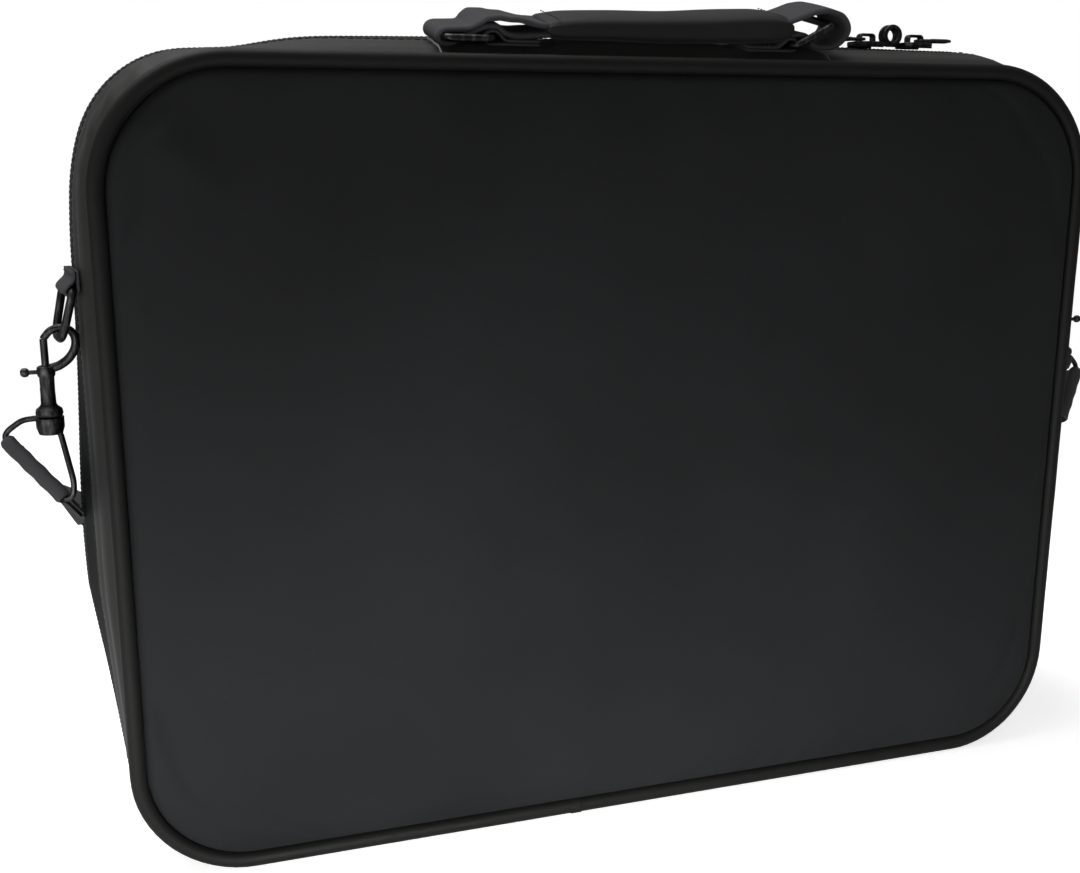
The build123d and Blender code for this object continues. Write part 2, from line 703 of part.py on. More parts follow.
# Shoulder strap, from the left end round the back to the middle. Each entry is the middle of the
# webbing, then the way its lower edge points.
strap_sag = 27.0
strap_back = half_depth + pocket_depth + hem_thick + 1.2 + strap_width / 2
strap_stations = [
    ((-228.8, 10.5, 147.6), (0.585, -0.51, -0.63)),
    ((-227.5, 23.0, 141.5), (0.55, -0.66, -0.52)),
    ((-222.5, 44.0, 131.0), (0.50, -0.78, -0.40)),
    ((-212.0, 64.0, 121.0), (0.28, -0.95, -0.15)),
    ((-193.0, strap_back - 0.3, 107.0), (0.05, -1.0, 0.0)),
    ((-165.0, strap_back, 88.0), (0.0, -1.0, 0.0)),
    ((-120.0, strap_back, 60.0), (0.0, -1.0, 0.0)),
    ((-65.0, strap_back, 37.0), (0.0, -1.0, 0.0)),
    ((-20.0, strap_back, strap_sag), (0.0, -1.0, 0.0)),
]


def strap_route():
    """Middles and edge directions of the whole strap, left end to right end."""
    start = bar_mid + tail_dir * (tail_length + strap_gap)
    left = [(start, bar_dir), (start + tail_dir * strap_lead, bar_dir)]
    left += [(Vector(*p), Vector(*w)) for p, w in strap_stations]
    right = [(Vector(-p.X, p.Y, p.Z), Vector(-w.X, w.Y, w.Z)) for p, w in reversed(left)]
    return left + right


def strap_webbing():
    """Flat webbing, a ruled ribbon through the strap's stations."""
    route = strap_route()
    sections, length = [], 0.0
    for k, (point, edge) in enumerate(route):
        before, after = route[max(k - 1, 0)][0], route[min(k + 1, len(route) - 1)][0]
        along = (after - before).normalized()
        edge = (edge - along * edge.dot(along)).normalized()
        sections.append(Plane(origin=point, x_dir=edge, z_dir=along) * Rectangle(strap_width, strap_web))
        if k:
            length += (point - route[k - 1][0]).length
    print("strap webbing, mm:", round(length, 1), "and with both sewn ends:", round(length + 4 * tail_length, 1))
    return loft(sections, ruled=True)


def build_case():
    case_half("back", -1)
    case_half("front", 1)
    save("laptop_pads", laptop_pads())
    save("laptop_straps", laptop_straps())
    save("organiser", organiser())
    save("pen_loops", pen_loops())
    save("front_pocket", front_pocket())
    save("pocket_hem", pocket_hem())


def build_handle():
    save("handle_patch", handle_patch())
    save("handle_tab_left", handle_tab(-1))
    save("handle_tab_right", handle_tab(1))
    save("link_left", link_ring(-tab_reach, 180))
    save("link_right", link_ring(tab_reach, link_raised))
    save("handle_loop_left", handle_loop_left())
    save("handle_loop_right", handle_loop_right())
    save("handle_sleeve", handle_sleeve())
    save("handle_core", handle_core())


def build_sliders():
    save("slider_left", slider(slider_left_x, 1, -eye_side))
    save("slider_right", slider(slider_right_x, -1, eye_side))
    save("pull_left", pull(slider_left_x, -1))
    save("pull_right", pull(slider_right_x, 1))


def build_strap():
    pieces = {
        "ring_tab": ring_tab(),
        "strap_ring": strap_ring(),
        "hook_body": hook_body(),
        "hook_bolt": hook_bolt(),
        "swivel_cap": swivel_cap(),
        "strap_loop": strap_loop(),
        "strap_end": strap_end(),
    }
    for name, piece in pieces.items():
        save(f"{name}_left", piece)
        save(f"{name}_right", mirror(piece, about=Plane.YZ))
    save("strap_webbing", strap_webbing())


build_case()
build_handle()
build_sliders()
build_strap()
print("joint centres and axes, mm:")
print("lid hinge", (0, 0, round(hinge_level, 3)))
for side, bar in ((-1, left_bar), (1, right_bar)):
    print("link pivot", (handle_plane * Pos(side * tab_reach, 0, 0)).position)
    print("loop's bar", (handle_plane * Pos(*bar, 0)).position)
print("handle axes run along", -handle_plane.z_dir)
for x, side in ((slider_left_x, -1), (slider_right_x, 1)):
    pull_x = x + side * (pull_inset + pull_bar / 2)
    print("slider at", x, "pull pivot", pull_x, slider_level + slider_plate + pull_gap + pull_thick / 2)
print("padlock eyes", eye_x, slider_level + eye_radius)
print("upper corner", seam_width / 2 - top_corner, seam_top - top_corner)
print("strap ring", ring_origin, "axis", ring_plane.z_dir)
print("hook", ring_foot_point, "swivel", hook_axis)
print("wire loop", eye_point, "axis", leg_dir)
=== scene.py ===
"""Padded laptop case, dressed: cloth halves, zip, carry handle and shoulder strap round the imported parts.

Sizes in the classes are millimetres in the part's own frame: X along the case, +Y out of the front
half, +Z up, with the origin on the floor. Meshes are made in metres, with a UV map in metres.
"""
import json
import logging
import math
from dataclasses import dataclass, field
from enum import Enum
from typing import Callable, Sequence

import bmesh
import bpy
import numpy as np
from mathutils import Matrix, Vector, noise

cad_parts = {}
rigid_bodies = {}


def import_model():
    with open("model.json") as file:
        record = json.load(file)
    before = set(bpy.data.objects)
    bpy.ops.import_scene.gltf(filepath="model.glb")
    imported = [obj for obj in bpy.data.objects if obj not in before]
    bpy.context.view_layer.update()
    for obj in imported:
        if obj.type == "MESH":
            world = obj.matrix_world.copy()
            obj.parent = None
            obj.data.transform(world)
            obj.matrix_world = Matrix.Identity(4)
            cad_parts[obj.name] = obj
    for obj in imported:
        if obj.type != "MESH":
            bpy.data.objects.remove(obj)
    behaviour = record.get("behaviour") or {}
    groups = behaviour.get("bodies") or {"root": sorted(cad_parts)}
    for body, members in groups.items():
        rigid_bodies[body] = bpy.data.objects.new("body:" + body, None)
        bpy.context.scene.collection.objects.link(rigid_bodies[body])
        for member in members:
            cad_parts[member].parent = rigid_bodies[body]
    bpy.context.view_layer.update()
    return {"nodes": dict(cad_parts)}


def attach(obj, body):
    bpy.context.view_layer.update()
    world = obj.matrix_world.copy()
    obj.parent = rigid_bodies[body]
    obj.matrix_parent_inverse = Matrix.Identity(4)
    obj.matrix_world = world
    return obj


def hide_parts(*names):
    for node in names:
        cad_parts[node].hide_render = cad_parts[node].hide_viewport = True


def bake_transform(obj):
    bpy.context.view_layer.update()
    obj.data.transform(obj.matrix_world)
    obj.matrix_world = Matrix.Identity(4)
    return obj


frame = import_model()
LOG = logging.getLogger("laptop_case")
MM = 0.001
Array = np.ndarray
Piece = bpy.types.Object
Node = bpy.types.Node
Socket = bpy.types.NodeSocket
Flat = tuple[float, float]
Point = tuple[float, float, float]


class Body(str, Enum):
    """Bodies that pieces ride on."""

    BACK = "case_back"
    FRONT = "case_front"
    HANDLE = "handle"


class Half(Enum):
    """The two halves: the sign of Y on which each lies."""

    BACK = -1
    FRONT = 1

    @property
    def body(self) -> Body:
        """Body that the half rides on."""
        return Body.BACK if self is Half.BACK else Body.FRONT

    @property
    def word(self) -> str:
        """First word of the half's node names."""
        return "back" if self is Half.BACK else "front"


class Side(Enum):
    """Left or right end of the case: the sign of X."""

    LEFT = -1
    RIGHT = 1

    @property
    def word(self) -> str:
        """Last word of the end's node names."""
        return "left" if self is Side.LEFT else "right"


# ---------------------------------------------------------------- paths and meshes
def unit(v: Array) -> Array:
    """Vectors of length one, along the last axis."""
    length = np.linalg.norm(v, axis=-1, keepdims=True)
    return v / np.maximum(length, 1e-9)


def xyz(x: Array | float, y: Array | float, z: Array | float) -> Array:
    """Points from their coordinates, any of which may be one number for all of them."""
    return np.stack(np.broadcast_arrays(x, y, z), -1)


def ramp(value: Array | float, start: float, reach: float) -> Array:
    """Rise from 0 at the start to 1 a reach further on."""
    return np.clip((value - start) / reach, 0, 1)


def bump(value: Array | float, middle: float, width: float) -> Array:
    """Bell curve of height one round the middle."""
    return np.exp(-(((value - middle) / width) ** 2))


def filleted(points: Sequence[Sequence[float]], radii: Sequence[float], step: float,
             closed: bool = True) -> Array:
    """Path through corner points with rounded corners.

    Args:
        points: corner points, two or three numbers each.
        radii: radius at each corner; the end corners of an open path are ignored.
        step: spacing of the samples on straights and arcs.
        closed: whether the path returns to its start.

    Returns:
        Array of sampled points, without a repeat of the first on a closed path.
    """
    p = np.array(points, float)
    n = len(p)
    out: list[Array] = []
    for k in range(n):
        if not closed and k in (0, n - 1):
            out.append(p[k])
            continue
        a, b, c = p[k - 1], p[k], p[(k + 1) % n]
        d1, d2 = unit(b - a), unit(c - b)
        turn = math.acos(float(np.clip(d1 @ d2, -1, 1)))
        if turn < 1e-4 or radii[k] < 1e-6:
            out.append(b)
            continue
        reach = radii[k] * math.tan(turn / 2)
        start, inward = b - d1 * reach, unit(d2 - d1 * (d1 @ d2))
        steps = max(3, math.ceil(radii[k] * turn / step))
        for i in range(steps + 1):
            angle = turn * i / steps
            out.append(start + d1 * radii[k] * math.sin(angle) + inward * radii[k] * (1 - math.cos(angle)))
    dense: list[Array] = []
    count = len(out) if closed else len(out) - 1
    for k in range(count):
        a, b = out[k], out[(k + 1) % len(out)]
        pieces = max(1, round(float(np.linalg.norm(b - a)) / step))
        dense += [a + (b - a) * i / pieces for i in range(pieces)]
    if not closed:
        dense.append(out[-1])
    return np.array(dense)


def softened(path: Array, passes: int, closed: bool) -> Array:
    """Path with its samples averaged with their neighbours, so that cloth bends gently."""
    p = path.copy()
    for _ in range(passes):
        mid = (np.roll(p, 1, 0) + np.roll(p, -1, 0)) / 4 + p / 2
        if not closed:
            mid[0], mid[-1] = p[0], p[-1]
        p = mid
    return p


def through(points: Sequence[Sequence[float]], per: int = 8) -> Array:
    """Smooth open path through every point, with `per` samples to a span."""
    p = np.array(points, float)
    ends = np.vstack([2 * p[0] - p[1], p, 2 * p[-1] - p[-2]])
    out = []
    for k in range(1, len(ends) - 2):
        a, b, c, d = ends[k - 1 : k + 3]
        for i in range(per):
            t = i / per
            out.append(
                0.5 * (2 * b + (c - a) * t + (2 * a - 5 * b + 4 * c - d) * t * t
                       + (3 * b - a - 3 * c + d) * t**3)
            )
    out.append(p[-1])
    return np.array(out)


def tangents(path: Array, closed: bool) -> Array:
    """Unit direction of travel at each sample of a path."""
    if closed:
        return unit(np.roll(path, -1, 0) - np.roll(path, 1, 0))
    return unit(np.gradient(path, axis=0))


def lumps(points: Array, size: float, seed: float = 0.0) -> Array:
    """Smooth noise from -1 to 1 at each point, with lumps about `size` apart."""
    flat = points.reshape(-1, points.shape[-1])
    shift = Vector((seed * 7.31, seed * 3.17, seed * 5.71))
    values = [noise.noise(Vector(p) / size + shift) for p in flat.tolist()]
    return np.array(values).reshape(points.shape[:-1])


def make_object(name: str, data: bpy.types.ID) -> Piece:
    """Object in the scene that holds the data."""
    made = bpy.data.objects.new(name, data)
    bpy.context.scene.collection.objects.link(made)
    return made


def build(name: str, verts: Array, faces: list[tuple[int, ...]], uvs: list[Flat] | None = None,
          recalc: bool = True) -> Piece:
    """Smooth-shaded mesh object from points in millimetres.

    Args:
        name: the piece's name.
        verts: points, millimetres.
        faces: point indices of each face.
        uvs: one UV pair, metres, to each face corner in order.
        recalc: whether the faces are turned outwards.

    Returns:
        The new object.
    """
    mesh = bpy.data.meshes.new(name)
    mesh.from_pydata((np.asarray(verts, float) * MM).tolist(), [], faces)
    if uvs is not None:
        layer = mesh.uv_layers.new(name="UVMap")
        layer.data.foreach_set("uv", np.array(uvs, np.float32).ravel())
    if recalc:
        work = bmesh.new()
        work.from_mesh(mesh)
        bmesh.ops.recalc_face_normals(work, faces=work.faces)
        work.to_mesh(mesh)
        work.free()
    mesh.shade_smooth()
    return make_object(name, mesh)


def runs(grid: Array, axis: int) -> Array:
    """Mean distance travelled along one axis of a grid of points, metres."""
    steps = np.linalg.norm(np.diff(grid, axis=axis), axis=-1).mean(axis=1 - axis)
    return np.concatenate([[0.0], np.cumsum(steps)]) * MM


def skin(name: str, rows: Array, wrap_rows: bool = False, wrap_cols: bool = True, caps: bool = True) -> Piece:
    """One skin of quads over rows of points.

    Args:
        name: the piece's name.
        rows: array of rows, columns and coordinates, millimetres.
        wrap_rows: whether the last row joins the first.
        wrap_cols: whether the last column joins the first.
        caps: whether open ends of a wrapped skin are closed.

    Returns:
        The new object.
    """
    count_r, count_c = rows.shape[:2]
    full = np.concatenate([rows, rows[:, :1]], 1) if wrap_cols else rows
    full = np.concatenate([full, full[:1]], 0) if wrap_rows else full
    u, v = runs(full, 1), runs(full, 0)
    faces, uvs = [], []
    for r in range(full.shape[0] - 1):
        r2 = (r + 1) % count_r
        for c in range(full.shape[1] - 1):
            c2 = (c + 1) % count_c
            faces.append((r * count_c + c, r * count_c + c2, r2 * count_c + c2, r2 * count_c + c))
            uvs += [(u[c], v[r]), (u[c + 1], v[r]), (u[c + 1], v[r + 1]), (u[c], v[r + 1])]
    if caps and wrap_rows and not wrap_cols:
        for c in (0, count_c - 1):
            faces.append(tuple(r * count_c + c for r in range(count_r)))
            uvs += [(u[c], v[r]) for r in range(count_r)]
    if caps and wrap_cols and not wrap_rows:
        for r in (0, count_r - 1):
            faces.append(tuple(r * count_c + c for c in range(count_c)))
            uvs += [(u[c], v[r]) for c in range(count_c)]
    return build(name, rows.reshape(-1, 3), faces, uvs)


def slab(name: str, front: Array, back: Array) -> Piece:
    """Closed piece between two grids of the same size, such as a cloth panel.

    Args:
        name: the piece's name.
        front: outer surface, rows by columns by three, millimetres.
        back: inner surface, the same shape.

    Returns:
        The new object.
    """
    rows, cols = front.shape[:2]
    size = rows * cols
    u, v = runs(front, 1), runs(front, 0)
    faces: list[tuple[int, ...]] = []
    uvs: list[Flat] = []

    def quad(a: int, b: int, c: int, d: int) -> None:
        """Adds a face with the UVs of its corners."""
        faces.append((a, b, c, d))
        uvs.extend((u[(k % size) % cols], v[(k % size) // cols]) for k in (a, b, c, d))

    for r in range(rows - 1):
        for c in range(cols - 1):
            k = r * cols + c
            quad(k, k + 1, k + cols + 1, k + cols)
            quad(size + k, size + k + cols, size + k + cols + 1, size + k + 1)
    edge = [c for c in range(cols)] + [r * cols + cols - 1 for r in range(1, rows)]
    edge += [(rows - 1) * cols + c
             for c in range(cols - 2, -1, -1)] + [r * cols for r in range(rows - 2, 0, -1)]
    for a, b in zip(edge, edge[1:] + edge[:1]):
        quad(a, size + a, size + b, b)
    return build(name, np.concatenate([front.reshape(-1, 3), back.reshape(-1, 3)]), faces, uvs)


def ribbon(name: str, path: Array, edge: Array, width: float, thick: float, closed: bool = False,
           across: int = 12, crown: float = 0.0) -> Piece:
    """Flat webbing along a path, with rounded edges.

    Args:
        name: the piece's name.
        path: middle line, millimetres.
        edge: direction of the width at each sample, or one direction for all.
        width: webbing's width.
        thick: webbing's thickness.
        closed: whether the path is a loop.
        across: samples over the width.
        crown: how far the middle of the width stands proud of its edges.

    Returns:
        The new object.
    """
    way = tangents(path, closed)
    edge = np.broadcast_to(np.asarray(edge, float), path.shape)
    edge = unit(edge - way * (edge * way).sum(-1, keepdims=True))
    out = np.cross(way, edge)
    a = np.linspace(-1, 1, across)
    side = np.sign(a) * (1 - (1 - np.abs(a)) ** 1.5)
    half = thick / 2 * np.sqrt(np.clip(1 - np.clip(np.abs(side) * width / 2 - (width / 2 - thick / 2), 0,
                                                   None) ** 2
                                       / (thick / 2) ** 2, 0.02, 1))
    bow = crown * (1 - side**2)
    section = [(s * width / 2, h + b) for s, h, b in zip(side, half, bow)]
    section += [(s * width / 2, -h + b) for s, h, b in zip(side[::-1], half[::-1], bow[::-1])]
    rows = np.array([path + edge * x + out * y for x, y in section])
    return skin(name, rows, wrap_rows=True, wrap_cols=closed)


def tube(name: str, path: Array, radius: float | Array, closed: bool = False, sides: int = 14,
         wobble: float = 0.0) -> Piece:
    """Round bar, wire or piping along a path.

    Args:
        name: the piece's name.
        path: middle line, millimetres.
        radius: one radius, or one to each sample.
        closed: whether the path is a loop.
        sides: corners of the section.
        wobble: how uneven the surface is, millimetres.

    Returns:
        The new object.
    """
    way = tangents(path, closed)
    up = np.cross(way[0], (0.0, 0.31, 0.95))
    frames = []
    for t in way:
        up = unit(up - t * (up @ t))
        frames.append(up)
    n1 = np.array(frames)
    if closed:  # spread the twist that is left at the join
        last = unit(n1[-1] - way[0] * (n1[-1] @ way[0]))
        twist = math.atan2(float(np.cross(last, n1[0]) @ way[0]), float(last @ n1[0]))
        angle = (np.arange(len(path)) / len(path) * twist)[:, None]
        n1 = n1 * np.cos(angle) + np.cross(way, n1) * np.sin(angle)
    n2 = np.cross(way, n1)
    r = np.broadcast_to(np.asarray(radius, float), (len(path),))[:, None]
    rows = []
    for k in range(sides):
        angle = 2 * math.pi * k / sides
        rows.append(path + (n1 * math.cos(angle) + n2 * math.sin(angle)) * r)
    grid = np.array(rows)
    if wobble:
        grid += (grid - path[None]) / r[None] * (lumps(grid, 16.0, 2.0) * wobble)[..., None]
    return skin(name, grid, wrap_rows=True, wrap_cols=closed)


def lathe(name: str, profile: Sequence[Flat], base: Point, axis: Sequence[float] = (0, 0, 1),
          sides: int = 28) -> Piece:
    """Turned piece.

    Args:
        name: the piece's name.
        profile: radius and height pairs from one end to the other.
        base: point that heights are measured from.
        axis: direction of the heights.
        sides: corners round the axis.

    Returns:
        The new object.
    """
    way = unit(np.array(axis, float))
    n1 = unit(np.cross(way, (0.31, 0.95, 0.1)))
    n2 = np.cross(way, n1)
    rows = []
    for r, h in profile:
        angles = 2 * math.pi * np.arange(sides) / sides
        rows.append(np.array(base) + way * h + (np.outer(np.cos(angles), n1) + np.outer(np.sin(angles), n2))
                    * r)
    return skin(name, np.array(rows))


def cut_plate(name: str, loops: Sequence[Array], thick: float, bevel: float, place: Matrix) -> Piece:
    """Flat plate with holes and rounded edges.

    Args:
        name: the piece's name.
        loops: outline and holes, millimetres, in the plate's own plane.
        thick: plate's thickness.
        bevel: radius of its edges.
        place: turns and moves the plate from its own plane, in millimetres.

    Returns:
        The new object.
    """
    data = bpy.data.curves.new(name, "CURVE")
    data.dimensions, data.fill_mode = "2D", "BOTH"
    for loop in loops:
        spline = data.splines.new("POLY")
        spline.points.add(len(loop) - 1)
        for point, (x, y) in zip(spline.points, loop):
            point.co = (x, y, 0, 1)
        spline.use_cyclic_u = True
    data.extrude, data.bevel_depth, data.bevel_resolution = thick / 2 - bevel, bevel, 2
    data.offset = -bevel
    flat = make_object(name + "_flat", data)
    mesh = bpy.data.meshes.new_from_object(flat.evaluated_get(bpy.context.evaluated_depsgraph_get()))
    bpy.data.objects.remove(flat)
    bpy.data.curves.remove(data)
    mesh.transform(Matrix.Scale(MM, 4) @ place)
    mesh.name = name
    work = bmesh.new()
    work.from_mesh(mesh)
    bmesh.ops.remove_doubles(work, verts=work.verts, dist=1e-6)
    bmesh.ops.recalc_face_normals(work, faces=work.faces)
    work.to_mesh(mesh)
    work.free()
    return make_object(name, mesh)


def joined(name: str, parts: Sequence[Piece]) -> Piece:
    """One object that holds the meshes of several."""
    work = bmesh.new()
    for part in parts:
        work.from_mesh(part.data)
    mesh = bpy.data.meshes.new(name)
    for part in parts:
        for material in part.data.materials:
            if material.name not in mesh.materials:
                mesh.materials.append(material)
    work.to_mesh(mesh)
    work.free()
    for part in parts:
        data = part.data
        bpy.data.objects.remove(part)
        bpy.data.meshes.remove(data)
    mesh.shade_smooth()
    return make_object(name, mesh)


def sharpen(piece: Piece, degrees: float = 35.0) -> Piece:
    """Shades the piece smooth but for edges that turn by more than an angle."""
    piece.data.set_sharp_from_angle(angle=math.radians(degrees))
    return piece


def rounded_box(name: str, low: Point, high: Point, radius: float, puff: float = 0.0,
                step: float = 4.0) -> Piece:
    """Soft block with rounded edges, such as a foam pad.

    Args:
        name: the piece's name.
        low: lowest corner, millimetres.
        high: highest corner.
        radius: radius of its edges.
        puff: how far the middles of its faces swell.
        step: size of its faces.

    Returns:
        The new object.
    """
    lo, hi = np.array(low, float), np.array(high, float)
    work = bmesh.new()
    bmesh.ops.create_cube(work, size=1.0)
    for vert in work.verts:
        vert.co = Vector(((lo + hi) / 2 + np.array(vert.co) * (hi - lo)).tolist())
    cuts = max(2, int(float((hi - lo).max()) / step / 4))
    bmesh.ops.subdivide_edges(work, edges=work.edges, cuts=cuts, use_grid_fill=True)
    bmesh.ops.subdivide_edges(work, edges=work.edges, cuts=3, use_grid_fill=True)
    inner_lo, inner_hi = lo + radius, hi - radius
    middle, half = (lo + hi) / 2, (hi - lo) / 2
    for vert in work.verts:
        p = np.array(vert.co)
        core = np.clip(p, inner_lo, inner_hi)
        away = p - core
        length = float(np.linalg.norm(away))
        if length > 1e-6:
            p = core + away / length * radius
        reach = np.clip(np.abs(p - middle) / half, 0, 1)
        swell = puff * (1 - reach**4)
        for k in range(3):
            others = [swell[j] / max(puff, 1e-9) for j in range(3) if j != k]
            if reach[k] > 0.8:
                p[k] += math.copysign(puff * others[0] * others[1], p[k] - middle[k])
        vert.co = Vector((p * MM).tolist())
    bmesh.ops.recalc_face_normals(work, faces=work.faces)
    mesh = bpy.data.meshes.new(name)
    work.to_mesh(mesh)
    work.free()
    mesh.shade_smooth()
    return make_object(name, mesh)


# ---------------------------------------------------------------- shader groups
class Graph:
    """Short ways to place and join nodes in one tree."""

    def __init__(self, tree: bpy.types.NodeTree) -> None:
        """Args:
        tree: the node tree to work in.
        """
        self.tree = tree
        self.x = 0

    def node(self, kind: str, **settings: object) -> Node:
        """Places a node.

        Args:
            kind: the node's type name.
            settings: properties to set on it.

        Returns:
            The node.
        """
        made = self.tree.nodes.new(kind)
        for key, value in settings.items():
            setattr(made, key, value)
        self.x += 170
        made.location = (self.x, 0)
        return made

    def feed(self, socket: Socket, value: object) -> None:
        """Joins a socket to another one, or sets its number or colour."""
        if isinstance(value, Socket):
            self.tree.links.new(value, socket)
        elif value is not None:
            socket.default_value = value

    def math(self, what: str, a: object, b: object = None, c: object = None) -> Socket:
        """Result of a Math node on up to three inputs."""
        made = self.node("ShaderNodeMath", operation=what)
        for socket, value in zip(made.inputs, (a, b, c)):
            self.feed(socket, value)
        return made.outputs[0]

    def mix(self, factor: object, a: object, b: object) -> Socket:
        """Mix of two colours."""
        made = self.node("ShaderNodeMix", data_type="RGBA")
        for socket, value in zip((made.inputs[0], made.inputs[6], made.inputs[7]), (factor, a, b)):
            self.feed(socket, value)
        return made.outputs[2]

    def noise(self, where: object, scale: object, detail: float = 2.0, rough: float = 0.5) -> Socket:
        """Value of a Noise texture."""
        made = self.node("ShaderNodeTexNoise")
        self.feed(made.inputs["Vector"], where)
        self.feed(made.inputs["Scale"], scale)
        made.inputs["Detail"].default_value = detail
        made.inputs["Roughness"].default_value = rough
        return made.outputs["Fac"]

    def spread(self, value: object, low: float, high: float, to_low: float = 0.0,
               to_high: float = 1.0) -> Socket:
        """Value mapped from one span to another, clamped."""
        made = self.node("ShaderNodeMapRange")
        for k, item in enumerate((value, low, high, to_low, to_high)):
            self.feed(made.inputs[k], item)
        return made.outputs[0]


def group(name: str, inputs: Sequence[tuple[str, str, object]],
          outputs: Sequence[tuple[str, str]]) -> tuple[bpy.types.NodeTree, Graph, Node, Node]:
    """New shader group with its interface.

    Args:
        name: the group's name.
        inputs: name, socket kind and default of each input.
        outputs: name and socket kind of each output.

    Returns:
        The tree, a graph on it, and its input and output nodes.
    """
    tree = bpy.data.node_groups.new(name, "ShaderNodeTree")
    for label, kind, default in inputs:
        socket = tree.interface.new_socket(label, in_out="INPUT", socket_type=f"NodeSocket{kind}")
        if default is not None:
            socket.default_value = default
    for label, kind in outputs:
        tree.interface.new_socket(label, in_out="OUTPUT", socket_type=f"NodeSocket{kind}")
    graph = Graph(tree)
    return tree, graph, graph.node("NodeGroupInput"), graph.node("NodeGroupOutput")


def weave_group() -> bpy.types.NodeTree:
    """Plain weave: threads over and under each other, with slubs.

    Returns:
        Group with Place, Pitch and Slubs in, and Height and Thread out.
    """
    tree, g, start, end = group(
        "plain_weave", [("Place", "Vector", None), ("Pitch", "Float", 0.0009), ("Slubs", "Float", 0.4)],
        [("Height", "Float"), ("Thread", "Float")])
    split = g.node("ShaderNodeSeparateXYZ")
    g.feed(split.inputs[0], start.outputs["Place"])
    drift = g.noise(start.outputs["Place"], 240.0)
    turns = g.math("DIVIDE", 2 * math.pi, start.outputs["Pitch"])
    waves = []
    for axis in (0, 1):
        angle = g.math("MULTIPLY", split.outputs[axis], turns)
        waves.append(g.math("SINE", g.math("ADD", angle, g.math("MULTIPLY", drift, 1.2))))
    checks = g.math("MULTIPLY", waves[0], waves[1])
    slubs = g.noise(start.outputs["Place"], 900.0, 3.0, 0.65)
    height = g.math("ADD", g.math("MULTIPLY", checks, 0.3), g.math("MULTIPLY", slubs, start.outputs["Slubs"]))
    g.feed(end.inputs["Height"], height)
    g.feed(end.inputs["Thread"], g.spread(height, -0.4, 0.9))
    return tree


def twill_group() -> bpy.types.NodeTree:
    """Webbing and tape: a herringbone of ribs along the strap.

    Returns:
        Group with Place, Rib and Slant in, and Height and Thread out.
    """
    tree, g, start, end = group(
        "herringbone", [("Place", "Vector", None), ("Rib", "Float", 0.0018), ("Slant", "Float", 1.0)],
        [("Height", "Float"), ("Thread", "Float")])
    split = g.node("ShaderNodeSeparateXYZ")
    g.feed(split.inputs[0], start.outputs["Place"])
    band = g.math("PINGPONG", split.outputs[1], g.math("MULTIPLY", start.outputs["Rib"], 2.0))
    slant = g.math("ADD", split.outputs[0], g.math("MULTIPLY", band, start.outputs["Slant"]))
    turns = g.math("DIVIDE", 2 * math.pi, start.outputs["Rib"])
    ribs = g.math("SINE", g.math("MULTIPLY", slant, turns))
    cords = g.math("SINE", g.math("MULTIPLY", split.outputs[1], g.math("MULTIPLY", turns, 1.5)))
    fuzz = g.noise(start.outputs["Place"], 1400.0, 3.0, 0.6)
    height = g.math("ADD", g.math("MULTIPLY", ribs, 0.4), g.math("ADD", g.math("MULTIPLY", cords, 0.3), fuzz))
    g.feed(end.inputs["Height"], height)
    g.feed(end.inputs["Thread"], g.spread(height, -0.1, 1.2))
    return tree


def wear_group() -> bpy.types.NodeTree:
    """Dust, rubbing and faded patches over a surface.

    Returns:
        Group with Place, Patch, Speck in, and Faded, Dust out.
    """
    tree, g, start, end = group(
        "use_marks", [("Place", "Vector", None), ("Patch", "Float", 9.0), ("Speck", "Float", 420.0)],
        [("Faded", "Float"), ("Dust", "Float")])
    faded = g.noise(start.outputs["Place"], start.outputs["Patch"], 4.0, 0.55)
    specks = g.noise(start.outputs["Place"], start.outputs["Speck"], 2.0, 0.7)
    g.feed(end.inputs["Faded"], g.spread(faded, 0.35, 0.7))
    g.feed(end.inputs["Dust"], g.spread(specks, 0.64, 0.78))
    return tree


def grain_group() -> bpy.types.NodeTree:
    """Cast and moulded grain: fine pits with longer scuffs.

    Returns:
        Group with Place and Grain in, and Height, Scuff out.
    """
    tree, g, start, end = group(
        "cast_grain", [("Place", "Vector", None), ("Grain", "Float", 900.0)],
        [("Height", "Float"), ("Scuff", "Float")])
    pits = g.noise(start.outputs["Place"], start.outputs["Grain"], 3.0, 0.6)
    long = g.node("ShaderNodeMapping")
    long.inputs["Scale"].default_value = (3.0, 0.6, 0.5)
    g.feed(long.inputs["Vector"], start.outputs["Place"])
    scuff = g.noise(long.outputs[0], 260.0, 4.0, 0.7)
    g.feed(end.inputs["Height"], pits)
    g.feed(end.inputs["Scuff"], g.spread(scuff, 0.45, 0.75))
    return tree


class Groups:
    """The shader groups, built once."""

    made: dict[str, bpy.types.NodeTree] = {}

    @classmethod
    def get(cls, name: str, maker: Callable[[], bpy.types.NodeTree]) -> bpy.types.NodeTree:
        """The group of that name, built when first asked for."""
        if name not in cls.made:
            cls.made[name] = maker()
        return cls.made[name]


class Cover(Enum):
    """Where a pattern takes its place from: the cloth's own map, or the object's frame."""

    MAP = "UV"
    BODY = "Object"


def start_material(name: str, cover: Cover) -> tuple[bpy.types.Material, Graph, Node, Socket]:
    """Material with its Principled shader.

    Args:
        name: the material's name.
        cover: where its patterns take their place from.

    Returns:
        The material, a graph on it, its Principled node and the place socket.
    """
    made = bpy.data.materials.new(name)
    made.use_nodes = True
    g = Graph(made.node_tree)
    shader = made.node_tree.nodes["Principled BSDF"]
    place = g.node("ShaderNodeTexCoord").outputs[cover.value]
    return made, g, shader, place


